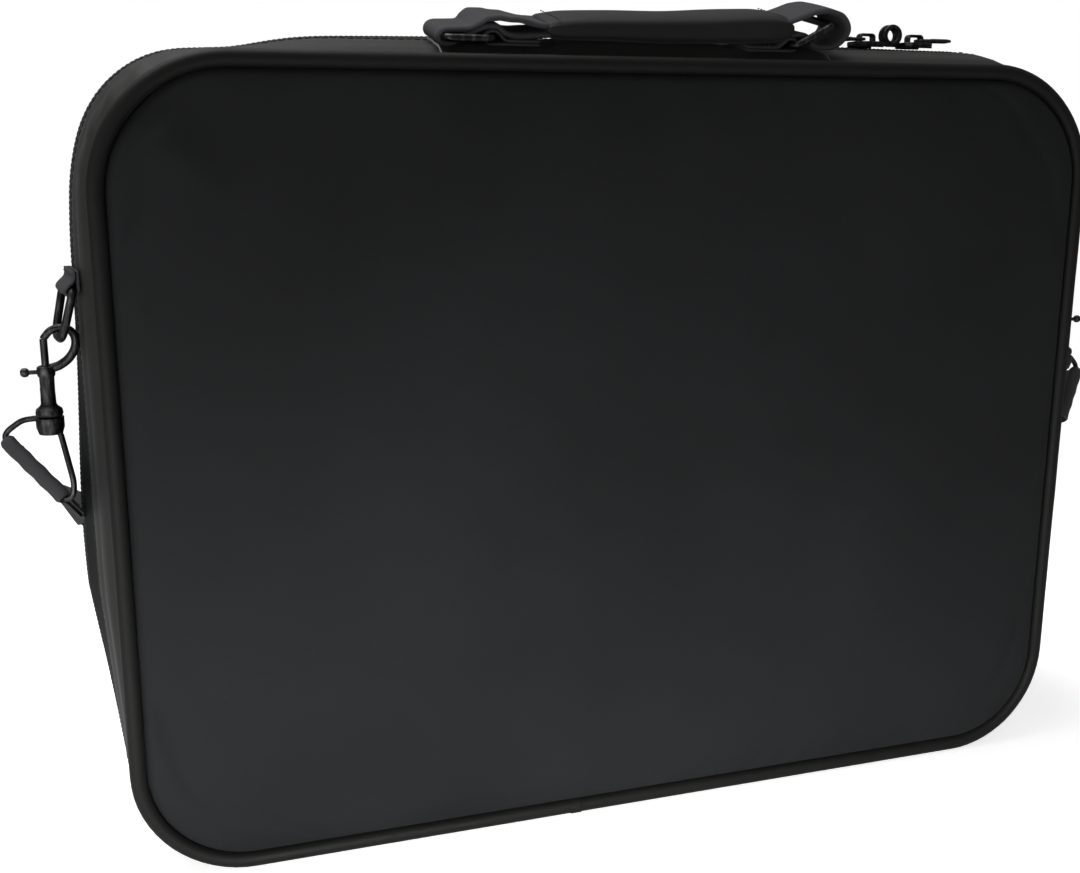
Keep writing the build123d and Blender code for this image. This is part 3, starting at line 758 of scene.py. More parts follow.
@dataclass(frozen=True)
class Cloth:
    """Woven or ribbed cloth.

    Attributes:
        name: the finish's name.
        colour: linear colour of the cloth.
        lit: linear colour of its threads' tops and faded patches.
        pitch: size of the weave, metres.
        ribbed: whether it is webbing or tape, and not plain weave.
        roughness: how dull it is.
        gloss: strength of its plain shine.
        fuzz: weight of its soft sheen.
        relief: depth of the weave, metres.
        cover: where the pattern takes its place from.
    """

    name: str
    colour: tuple[float, float, float]
    lit: tuple[float, float, float]
    pitch: float = 0.0011
    ribbed: bool = False
    roughness: float = 0.72
    gloss: float = 0.22
    fuzz: float = 0.08
    relief: float = 0.00012
    cover: Cover = Cover.MAP

    def material(self) -> bpy.types.Material:
        """The finish as a material, made once."""
        found = bpy.data.materials.get(self.name)
        if found:
            return found
        made, g, shader, place = start_material(self.name, self.cover)
        weave = g.node("ShaderNodeGroup")
        if self.ribbed:
            weave.node_tree = Groups.get("herringbone", twill_group)
            weave.inputs["Rib"].default_value = self.pitch
        else:
            weave.node_tree = Groups.get("plain_weave", weave_group)
            weave.inputs["Pitch"].default_value = self.pitch
        g.feed(weave.inputs["Place"], place)
        wear = g.node("ShaderNodeGroup")
        wear.node_tree = Groups.get("use_marks", wear_group)
        body = g.node("ShaderNodeTexCoord").outputs["Object"]
        g.feed(wear.inputs["Place"], body)
        # Hollows of the weave and ribs are painted darker than the threads' tops: painted shade between the
        # threads, mixed with the yarn's own uneven tone.
        hollow_shade = tuple(0.72 * c for c in self.colour) + (1,)
        base = g.mix(weave.outputs["Thread"], hollow_shade, self.colour + (1,))
        faded = g.mix(g.math("MULTIPLY", wear.outputs["Faded"], 0.45), base, self.lit + (1,))
        dusty = g.mix(g.math("MULTIPLY", wear.outputs["Dust"], 0.10), faded,
                      tuple(min(1, 2.2 * c) for c in self.lit) + (1,))
        g.feed(shader.inputs["Base Color"], dusty)
        rough = g.math("ADD", self.roughness - 0.06, g.math("MULTIPLY", wear.outputs["Faded"], 0.12))
        g.feed(shader.inputs["Roughness"], rough)
        shader.inputs["Specular IOR Level"].default_value = self.gloss
        shader.inputs["Sheen Weight"].default_value = self.fuzz
        shader.inputs["Sheen Roughness"].default_value = 0.45
        shader.inputs["Sheen Tint"].default_value = (0.92, 1.0, 0.97, 1)
        bump = g.node("ShaderNodeBump")
        bump.inputs["Strength"].default_value = 0.55
        bump.inputs["Distance"].default_value = self.relief
        g.feed(bump.inputs["Height"], weave.outputs["Height"])
        g.feed(shader.inputs["Normal"], bump.outputs[0])
        return made


@dataclass(frozen=True)
class Hard:
    """Metal, plastic, board or foam.

    Attributes:
        name: the finish's name.
        colour: linear colour.
        worn: linear colour where it is rubbed.
        metallic: 1 for metal.
        roughness: how dull it is.
        grain: scale of the grain, per metre.
        relief: depth of the grain, metres.
    """

    name: str
    colour: tuple[float, float, float]
    worn: tuple[float, float, float]
    metallic: float = 0.0
    roughness: float = 0.4
    grain: float = 900.0
    relief: float = 0.00003
    gloss: float = 0.5

    def material(self) -> bpy.types.Material:
        """The finish as a material, made once."""
        found = bpy.data.materials.get(self.name)
        if found:
            return found
        made, g, shader, place = start_material(self.name, Cover.BODY)
        grain = g.node("ShaderNodeGroup")
        grain.node_tree = Groups.get("cast_grain", grain_group)
        grain.inputs["Grain"].default_value = self.grain
        g.feed(grain.inputs["Place"], place)
        colour = g.mix(grain.outputs["Scuff"], self.colour + (1,), self.worn + (1,))
        g.feed(shader.inputs["Base Color"], colour)
        g.feed(shader.inputs["Roughness"], g.spread(grain.outputs["Scuff"], 0, 1, self.roughness,
                                                    self.roughness + 0.14))
        shader.inputs["Metallic"].default_value = self.metallic
        shader.inputs["Specular IOR Level"].default_value = self.gloss
        bump = g.node("ShaderNodeBump")
        bump.inputs["Strength"].default_value = 0.4
        bump.inputs["Distance"].default_value = self.relief
        g.feed(bump.inputs["Height"], grain.outputs["Height"])
        g.feed(shader.inputs["Normal"], bump.outputs[0])
        return made


NYLON = Cloth("nylon_cloth", (0.0100, 0.0105, 0.0112), (0.0195, 0.0204, 0.0214), gloss=0.12, fuzz=0.02)
# Side cloth is the panel's black nylon painted lighter: painted light on faces turned up to the top lamp.
LIT_SIDE_NYLON = Cloth("side_nylon", (0.0178, 0.0188, 0.0182), (0.0265, 0.0212, 0.0200), gloss=0.22,
                   roughness=0.6, fuzz=0.04)
# Piping colour is darker than the panel's nylon: painted shade on its face turned from the light and in the
# groove beside it.
SHADED_PIPING = Cloth("piping_cloth", (0.0062, 0.0066, 0.0058), (0.0095, 0.0101, 0.0090), pitch=0.0010, gloss=0.16,
               roughness=0.58, fuzz=0.02)
PATCH = Cloth("patch_cloth", (0.022, 0.0235, 0.0195), (0.034, 0.036, 0.030), gloss=0.2, fuzz=0.05)
LINING = Cloth("lining_cloth", (0.045, 0.047, 0.052), (0.070, 0.073, 0.080), pitch=0.0008, gloss=0.35,
               roughness=0.55)
TAPE = Cloth("zip_tape", (0.0085, 0.0088, 0.009), (0.0125, 0.013, 0.013), pitch=0.0012, ribbed=True,
             relief=0.0001, gloss=0.15, fuzz=0.03)
WEBBING = Cloth("webbing", (0.0095, 0.0097, 0.0092), (0.0175, 0.018, 0.0168), pitch=0.0018, ribbed=True,
                gloss=0.25, fuzz=0.05, relief=0.0002)
SLEEVE = Cloth("sleeve_cloth", (0.0095, 0.0100, 0.0092), (0.0165, 0.0175, 0.0160), gloss=0.2, roughness=0.62,
               fuzz=0.05)
PAD_CLOTH = Cloth("pad_cloth", (0.020, 0.021, 0.023), (0.034, 0.035, 0.038), pitch=0.0009)
THREAD = Cloth("sewing_thread", (0.014, 0.0143, 0.0145), (0.03, 0.031, 0.031), pitch=0.0006, cover=Cover.BODY,
               gloss=0.35)
# Pale colour of the strips at the handle patch's ends: a painted highlight.
PAINTED_HIGHLIGHT = Cloth("cut_edge", (0.42, 0.43, 0.40), (0.6, 0.6, 0.57), pitch=0.0008, cover=Cover.BODY)
TEETH = Hard("zip_teeth", (0.012, 0.012, 0.0125), (0.03, 0.031, 0.031), roughness=0.36, grain=1500.0)
GUNMETAL = Hard("black_nickel", (0.026, 0.026, 0.027), (0.11, 0.11, 0.108), metallic=1.0, roughness=0.4)
SPRING = Hard("spring_steel", (0.5, 0.5, 0.51), (0.62, 0.62, 0.62), metallic=1.0, roughness=0.28)
MOULDED = Hard("moulded_pull", (0.013, 0.013, 0.0135), (0.035, 0.036, 0.036), roughness=0.42, grain=600.0,
               relief=0.00005)
FOAM = Hard("grey_foam", (0.16, 0.16, 0.165), (0.21, 0.21, 0.215), roughness=0.85, grain=420.0, relief=0.0003,
            gloss=0.15)
BOARD = Hard("stiff_board", (0.035, 0.035, 0.037), (0.06, 0.06, 0.062), roughness=0.6, grain=500.0)


def dress(piece: Piece, finish: Cloth | Hard) -> Piece:
    """Gives a piece its finish."""
    piece.data.materials.clear()
    piece.data.materials.append(finish.material())
    return piece


def report(piece: Piece) -> Piece:
    """Logs a finished piece."""
    LOG.info("%s: %d faces", piece.name, len(piece.data.polygons))
    return piece


def seat(piece: Piece, body: Body | str, *nodes: str) -> Piece:
    """Puts a piece on its body, in place of the nodes it stands for."""
    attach(piece, body.value if isinstance(body, Body) else body)
    if nodes:
        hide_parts(*nodes)
    return report(piece)


def dress_node(node: str, finish: Cloth | Hard) -> None:
    """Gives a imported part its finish."""
    part = frame["nodes"][node]
    part.data.materials.clear()
    part.data.materials.append(finish.material())
    LOG.info("%s: packed part, %s", node, finish.name)


# ---------------------------------------------------------------- repeats along a path
class RowTree:
    """Geometry Nodes tree that sets copies of a shape along a path."""

    tree: bpy.types.NodeTree | None = None
    sockets: dict[str, str] = {}

    @classmethod
    def ready(cls) -> bpy.types.NodeTree:
        """The tree, built when first asked for."""
        if cls.tree is not None:
            return cls.tree
        tree = bpy.data.node_groups.new("row_of_pieces", "GeometryNodeTree")
        face = tree.interface
        face.new_socket("Geometry", in_out="INPUT", socket_type="NodeSocketGeometry")
        for label, kind, value in (("Shape", "Object", None), ("Spacing", "Float", 0.003),
                                   ("Sideways", "Vector", (0, 1, 0)),
                                   ("Uneven", "Float", 0.05), ("Seed", "Int", 1),
                                   ("Finish", "Material", None)):
            socket = face.new_socket(label, in_out="INPUT", socket_type=f"NodeSocket{kind}")
            if value is not None:
                socket.default_value = value
            cls.sockets[label] = socket.identifier
        face.new_socket("Geometry", in_out="OUTPUT", socket_type="NodeSocketGeometry")
        g = Graph(tree)
        start, end = g.node("NodeGroupInput"), g.node("NodeGroupOutput")
        curve = g.node("GeometryNodeMeshToCurve")
        g.feed(curve.inputs["Mesh"], start.outputs["Geometry"])
        even = g.node("GeometryNodeResampleCurve", mode="LENGTH")
        g.feed(even.inputs["Curve"], curve.outputs[0])
        g.feed(even.inputs["Length"], start.outputs["Spacing"])
        along = g.node("FunctionNodeAlignRotationToVector", axis="X")
        g.feed(along.inputs["Vector"], g.node("GeometryNodeInputTangent").outputs[0])
        level = g.node("FunctionNodeAlignRotationToVector", axis="Y", pivot_axis="X")
        g.feed(level.inputs["Rotation"], along.outputs[0])
        g.feed(level.inputs["Vector"], start.outputs["Sideways"])
        shape = g.node("GeometryNodeObjectInfo")
        g.feed(shape.inputs["Object"], start.outputs["Shape"])
        chance = g.node("FunctionNodeRandomValue", data_type="FLOAT")
        g.feed(chance.inputs[2], g.math("SUBTRACT", 1.0, start.outputs["Uneven"]))
        g.feed(chance.inputs[3], g.math("ADD", 1.0, start.outputs["Uneven"]))
        g.feed(chance.inputs["Seed"], start.outputs["Seed"])
        copies = g.node("GeometryNodeInstanceOnPoints")
        g.feed(copies.inputs["Points"], even.outputs[0])
        g.feed(copies.inputs["Instance"], shape.outputs["Geometry"])
        g.feed(copies.inputs["Rotation"], level.outputs[0])
        g.feed(copies.inputs["Scale"], chance.outputs[1])
        real = g.node("GeometryNodeRealizeInstances")
        g.feed(real.inputs[0], copies.outputs[0])
        paint = g.node("GeometryNodeSetMaterial")
        g.feed(paint.inputs["Geometry"], real.outputs[0])
        g.feed(paint.inputs["Material"], start.outputs["Finish"])
        g.feed(end.inputs[0], paint.outputs[0])
        cls.tree = tree
        return tree


def capsule(length: float, width: float, height: float, sides: int = 6) -> Piece:
    """Rounded bar along X for a stitch or a tooth, millimetres."""
    ends = [(0.0, -0.5), (0.62, -0.42), (1.0, -0.24), (1.0, 0.24), (0.62, 0.42), (0.0, 0.5)]
    verts, faces = [], []
    for r, t in ends:
        for k in range(sides):
            a = 2 * math.pi * (k + 0.5) / sides
            verts.append((t * length, r * width / 2 * math.cos(a), r * height / 2 * math.sin(a)))
    for row in range(len(ends) - 1):
        for k in range(sides):
            a, b = row * sides + k, row * sides + (k + 1) % sides
            faces.append((a, b, b + sides, a + sides))
    shape = build("unit", np.array(verts), faces, recalc=False)
    work = bmesh.new()
    work.from_mesh(shape.data)
    bmesh.ops.remove_doubles(work, verts=work.verts, dist=1e-7)
    bmesh.ops.recalc_face_normals(work, faces=work.faces)
    work.to_mesh(shape.data)
    work.free()
    return shape


def row_of(name: str, paths: Sequence[tuple[Array, bool]], shape: Piece, spacing: float, finish: Cloth | Hard,
           sideways: Point = (0.0, 1.0, 0.0), uneven: float = 0.05, seed: int = 1) -> Piece:
    """Copies of a shape along paths, as one plain mesh.

    Args:
        name: the piece's name.
        paths: each path's points, millimetres, and whether it is closed.
        shape: the shape, which is used up.
        spacing: from one copy to the next, millimetres.
        finish: finish of the copies.
        sideways: direction that the copies' width points in.
        uneven: share by which their sizes differ.
        seed: seed of that difference.

    Returns:
        The new object.
    """
    verts, edges = [], []
    for path, closed in paths:
        first = len(verts)
        verts += (path * MM).tolist()
        edges += [(k, k + 1) for k in range(first, len(verts) - 1)]
        if closed:
            edges.append((len(verts) - 1, first))
    mesh = bpy.data.meshes.new(name + "_path")
    mesh.from_pydata(verts, edges, [])
    line = make_object(name + "_path", mesh)
    rule = line.modifiers.new("row", "NODES")
    rule.node_group = RowTree.ready()
    for label, value in (("Shape", shape), ("Spacing", spacing * MM), ("Sideways", sideways),
                         ("Uneven", uneven),
                         ("Seed", seed), ("Finish", finish.material())):
        rule[RowTree.sockets[label]] = value
    bpy.context.view_layer.update()
    made = bpy.data.meshes.new_from_object(line.evaluated_get(bpy.context.evaluated_depsgraph_get()))
    made.name = name
    made.shade_smooth()
    for used in (line, shape):
        data = used.data
        bpy.data.objects.remove(used)
        bpy.data.meshes.remove(data)
    return make_object(name, made)


def stitches(name: str, paths: Sequence[tuple[Array, bool]], length: float = 2.6, thread: float = 0.42,
             pitch: float = 3.2, finish: Cloth = THREAD) -> Piece:
    """Rows of sewn stitches along paths.

    Args:
        name: the piece's name.
        paths: each path's points, millimetres, and whether it is closed.
        length: one stitch.
        thread: its thickness.
        pitch: from one stitch to the next.
        finish: the thread's finish.

    Returns:
        The new object.
    """
    return row_of(name, paths, capsule(length, thread, thread), pitch, finish, uneven=0.08, seed=7)


# ---------------------------------------------------------------- the case's own shape
@dataclass(frozen=True)
class CaseForm:
    """Surface that the cloth of both halves follows.

    A depth is measured from a half's large panel towards the zip line. A lift is measured outwards
    from the sides' surface.
    """

    half_width: float = 200.0
    base: float = 6.4
    top: float = 304.4
    upper: float = 43.5
    lower: float = 39.0
    depth: float = 42.5
    fade: float = 110.0
    crease_depth: float = 8.5
    waist_depth: float = 20.0
    crease_out: float = 5.0
    waist_out: float = 10.8
    crown_out: float = 14.5
    crease_low: float = 4.0
    crown_low: float = 4.7
    join_x: float = -27.5
    hinge_half: float = 160.0
    belly_out: float = 3.7
    belly_level: float = 130.0
    belly_high: float = 60.0
    crush_top: float = 4.7
    crush_x: float = -159.0
    crush_wide: float = 22.0
    crush_end: float = 1.5
    crush_z: float = 272.0
    crush_high: float = 18.0
    zip_rise: float = 1.3
    zip_rise_x: float = 5.0
    zip_rise_half: float = 115.0

    def out(self, depth: float, crease: float, waist: float, crown: float) -> float:
        """Value at a depth, between those at the crease, waist and zip line."""
        if depth <= self.waist_depth:
            t = (depth - self.crease_depth) / (self.waist_depth - self.crease_depth)
            return crease + (waist - crease) * t
        t = (depth - self.waist_depth) / (self.depth - self.waist_depth)
        return waist + (crown - waist) * t

    def side_out(self, depth: float) -> float:
        """How far the sides stand out past the seam at a depth."""
        return self.out(depth, self.crease_out, self.waist_out, self.crown_out)

    def base_out(self, depth: float) -> float:
        """How far the base stands below the seam at a depth."""
        middle = (self.crease_low + self.crown_low) / 2
        return self.out(depth, self.crease_low, middle, self.crown_low)

    def loop(self, side: float, low: float) -> Array:
        """Outline square to Y, `side` past the seam at the top and ends and `low` below it.

        Args:
            side: reach past the seam.
            low: reach below it.

        Returns:
            X and Z of points that start and end at the piping's join in the base. Every loop has
            the same number of points, so that loops can be joined into a surface.
        """
        half, top, base = self.half_width, self.top + side, self.base - low
        corners = [(-half - low, base, self.lower + low), (-half - side, self.fade, 0.0),
                   (-half - side, top, self.upper + side), (half + side, top, self.upper + side),
                   (half + side, self.fade, 0.0), (half + low, base, self.lower + low)]
        straights, arcs = (36, 12, 26, 84, 26, 12, 44), (16, 1, 26, 26, 1, 16)
        start = np.array([self.join_x, base])
        points = [start]
        here = start
        for k, (x, z, radius) in enumerate(corners):
            corner = np.array([x, z])
            before = points[0] if k == 0 else np.array(corners[k - 1][:2])
            after = np.array(corners[k + 1][:2]) if k < 5 else start
            d1, d2 = unit(corner - before), unit(after - corner)
            turn = math.acos(float(np.clip(d1 @ d2, -1, 1)))
            reach = radius * math.tan(turn / 2)
            entry, inward = corner - d1 * reach, unit(d2 - d1 * (d1 @ d2))
            points += [here + (entry - here) * (i + 1) / straights[k] for i in range(straights[k])]
            if radius:
                points += [entry + d1 * radius * math.sin(turn * (i + 1) / arcs[k])
                           + inward * radius * (1 - math.cos(turn * (i + 1) / arcs[k]))
                           for i in range(arcs[k])]
            here = corner + d2 * reach
        points += [here + (start - here) * (i + 1) / straights[6] for i in range(straights[6] - 1)]
        return np.array(points)

    def outward(self, loop: Array) -> Array:
        """Unit outward directions at a loop's points."""
        way = unit(np.roll(loop, -1, 0) - np.roll(loop, 1, 0))
        return np.stack([-way[:, 1], way[:, 0]], 1)

    def dent(self, loop: Array, depth: float) -> Array:
        """How far the soft cloth stands off the even outline: a crushed corner and a raised zip."""
        x, z = loop[:, 0], loop[:, 1]
        high, end = ramp(z, 285, 20), ramp(-x, 182, 14)
        crushed = self.crush_top * high * bump(x, self.crush_x, self.crush_wide)
        crushed = crushed + self.crush_end * end * bump(z, self.crush_z, self.crush_high)
        raised = self.zip_rise * high * np.exp(-(((x - self.zip_rise_x) / self.zip_rise_half) ** 4))
        return raised * ramp(depth, 31, 9) - crushed * ramp(depth, 8, 22)

    def belly(self, half: Half, loop: Array, depth: float) -> Array:
        """How far the left end bulges past the even outline, clear of the fittings on the back half."""
        start, spread = (33.0, 9.0) if half is Half.BACK else (7.0, 20.0)
        share = ramp(depth, start, spread) * ramp(-loop[:, 0], 150, 40)
        return self.belly_out * share * bump(loop[:, 1], self.belly_level, self.belly_high)

    def ring(self, half: Half, depth: float, lift: float = 0.0, relief: Array | float = 0.0) -> Array:
        """Points round one half at a depth and lift.

        Args:
            half: the half.
            depth: depth behind its panel.
            lift: lift off the sides' surface.
            relief: further lift at each point.

        Returns:
            Array of points, millimetres.
        """
        flat = self.loop(self.side_out(depth) + lift, self.base_out(depth) + lift)
        flat = flat + self.outward(flat) * (self.dent(flat, depth) + self.belly(half, flat, depth)
                                            + relief)[:, None]
        y = np.full(len(flat), half.value * (self.depth - depth))
        return xyz(flat[:, 0], y, flat[:, 1])

    def surface(self, half: Half, depth: float, lift: float = 0.0) -> Array:
        """Points round one half on its soft side cloth, with its folds and puckers.

        Args:
            half: the half.
            depth: depth behind its panel.
            lift: lift off the cloth.

        Returns:
            Array of points, millimetres.
        """
        flat = self.loop(10.0, 4.4)
        travel = np.cumsum(np.linalg.norm(np.diff(flat, axis=0, prepend=flat[:1]), axis=1))
        corner = ramp(flat[:, 1], 262, 20) * ramp(np.abs(flat[:, 0]), 150, 25)
        calm = np.clip((flat[:, 1] - self.base) / 14, 0.12, 1)
        place = xyz(travel, depth * 3, half.value * 40.0)
        slow, quick = lumps(place, 85, 1), lumps(place, 30, 4)
        ridge = 0.75 * bump(depth, 15.5, 2.7) * (0.7 + 0.5 * slow)
        valley = -0.65 * bump(depth, 21.5, 2.3) * (0.6 + 0.6 * slow)
        swell = 0.55 * bump(depth, 27.5, 2.6) * (0.7 - 0.5 * slow)
        near = math.exp(-abs(depth - 9.5) / 2.4) + math.exp(-abs(depth - 32.0) / 1.8)
        puckers = 0.16 * near * np.sin(travel / 6.3 * 2 * math.pi + 2.2 * quick)
        creases = 0.42 * corner * bump(depth, 17, 9) * np.sin(travel / 13.0 * 2 * math.pi + 3 * quick)
        relief = ridge + valley + swell + puckers + creases + 0.22 * quick
        return self.ring(half, depth, lift, relief * calm)

    def top_line(self, half: Half, depth: float, x: Array, lift: float) -> Array:
        """Points on the top of one half's side cloth at given X."""
        ring = self.surface(half, depth, lift)
        high = ring[ring[:, 2] > self.top]
        order = np.argsort(high[:, 0])
        z = np.interp(x, high[order, 0], high[order, 2])
        return xyz(x, ring[0, 1], z)

    def zip_run(self) -> slice:
        """Samples of a loop that the zip runs along: all but the fabric hinge in the base."""
        loop = self.loop(self.crown_out, self.crown_low)
        in_hinge = (loop[:, 1] < self.base) & (np.abs(loop[:, 0]) < self.hinge_half)
        kept = np.nonzero(~in_hinge)[0]
        return slice(int(kept[0]), int(kept[-1]) + 1)

    def panel_edge(self, x: Array, z: Array, inset: float) -> Array:
        """Distance of points inside the seam's outline, less an inset."""
        gap = np.minimum.reduce([self.half_width - np.abs(x), self.top - z, z - self.base])
        for radius, centre, sign in ((self.upper, self.top - self.upper, 1),
                                     (self.lower, self.base + self.lower, -1)):
            dx, dz = np.abs(x) - (self.half_width - radius), (z - centre) * sign
            corner = (dx > 0) & (dz > 0)
            gap = np.where(corner, radius - np.hypot(dx, dz), gap)
        return gap - inset

    def panel_grid(self, inset: float, cols: int = 132, rows: int = 104) -> tuple[Array, Array]:
        """X and Z of a grid that fills the seam's outline, finer near its edges."""
        t = np.linspace(-1, 1, rows)
        s = np.linspace(-1, 1, cols)
        t = np.sign(t) * (1 - (1 - np.abs(t)) ** 1.7)
        s = np.sign(s) * (1 - (1 - np.abs(s)) ** 1.7)
        low, high = self.base + inset, self.top - inset
        z = (low + high) / 2 + t * (high - low) / 2
        wide = np.full(rows, self.half_width - inset)
        for radius, centre, sign in ((self.upper - inset, self.top - self.upper, 1),
                                     (self.lower - inset, self.base + self.lower, -1)):
            dz = np.clip((z - centre) * sign, 0, radius)
            wide = np.minimum(wide, self.half_width - inset - radius
                              + np.sqrt(np.clip(radius**2 - dz**2, 0, None)))
        return np.outer(wide, s), np.repeat(z[:, None], cols, 1)


FORM = CaseForm()


@dataclass(frozen=True)
class Fold:
    """Soft fold in a panel, from one point to another."""

    start: Flat
    end: Flat
    width: float
    height: float

    def lift(self, x: Array, z: Array) -> Array:
        """Height of the fold at each point of the panel."""
        a, b = np.array(self.start), np.array(self.end)
        along = b - a
        length = float(np.linalg.norm(along))
        way = along / length
        t = ((x - a[0]) * way[0] + (z - a[1]) * way[1]) / length
        off = (x - a[0]) * -way[1] + (z - a[1]) * way[0]
        fade = np.clip(1 - ((t - 0.5) / 0.75) ** 2, 0, 1) ** 2
        return self.height * fade * np.exp(-((off / self.width) ** 2))


def settle(name: str, x: Array, z: Array, fixed: Array, push: float, cap: float, frames: int = 18) -> Array:
    """Cloth simulation of a slack panel held at its edge and pushed out from behind.

    Args:
        name: name of the cloth while it is simulated.
        x: X of a grid, millimetres.
        z: Z of the grid.
        fixed: which points are sewn down.
        push: pressure behind the cloth.
        cap: furthest that a point may move, millimetres.
        frames: length of the simulation.

    Returns:
        How far each point has moved out, millimetres.
    """
    rows, cols = x.shape
    verts = xyz(x.ravel(), np.zeros(x.size), z.ravel()) * MM
    faces = [(r * cols + c, r * cols + c + 1, (r + 1) * cols + c + 1, (r + 1) * cols + c)
             for r in range(rows - 1) for c in range(cols - 1)]
    mesh = bpy.data.meshes.new(name)
    mesh.from_pydata(verts.tolist(), [], faces)
    cloth = make_object(name, mesh)
    pins = cloth.vertex_groups.new(name="sewn")
    pins.add(np.nonzero(fixed.ravel())[0].tolist(), 1.0, "REPLACE")
    rule = cloth.modifiers.new("cloth", "CLOTH")
    rule.settings.quality = 5
    rule.settings.mass = 0.25
    rule.settings.tension_stiffness = 12
    rule.settings.bending_stiffness = 1.5
    rule.settings.vertex_group_mass = "sewn"
    rule.settings.shrink_min = -0.012
    rule.settings.use_pressure = True
    rule.settings.uniform_pressure_force = push
    rule.settings.effector_weights.gravity = 0
    rule.point_cache.frame_end = frames
    scene = bpy.context.scene
    for k in range(1, frames + 1):
        scene.frame_set(k)
    done = cloth.evaluated_get(bpy.context.evaluated_depsgraph_get())
    moved = np.array([v.co[1] for v in done.data.vertices]).reshape(rows, cols) / MM
    scene.frame_set(1)
    bpy.data.objects.remove(cloth)
    bpy.data.meshes.remove(mesh)
    sign = 1.0 if moved.mean() > 0 else -1.0
    return cap * np.tanh(sign * moved / cap)


def resampled(field: Array, rows: int, cols: int) -> Array:
    """Grid of values stretched to another size."""
    r, c = np.linspace(0, field.shape[0] - 1, rows), np.linspace(0, field.shape[1] - 1, cols)
    r0, c0 = np.minimum(r.astype(int), field.shape[0] - 2), np.minimum(c.astype(int), field.shape[1] - 2)
    fr, fc = (r - r0)[:, None], (c - c0)[None, :]
    a, b = field[np.ix_(r0, c0)], field[np.ix_(r0, c0 + 1)]
    d, e = field[np.ix_(r0 + 1, c0)], field[np.ix_(r0 + 1, c0 + 1)]
    return a * (1 - fr) * (1 - fc) + b * (1 - fr) * fc + d * fr * (1 - fc) + e * fr * fc


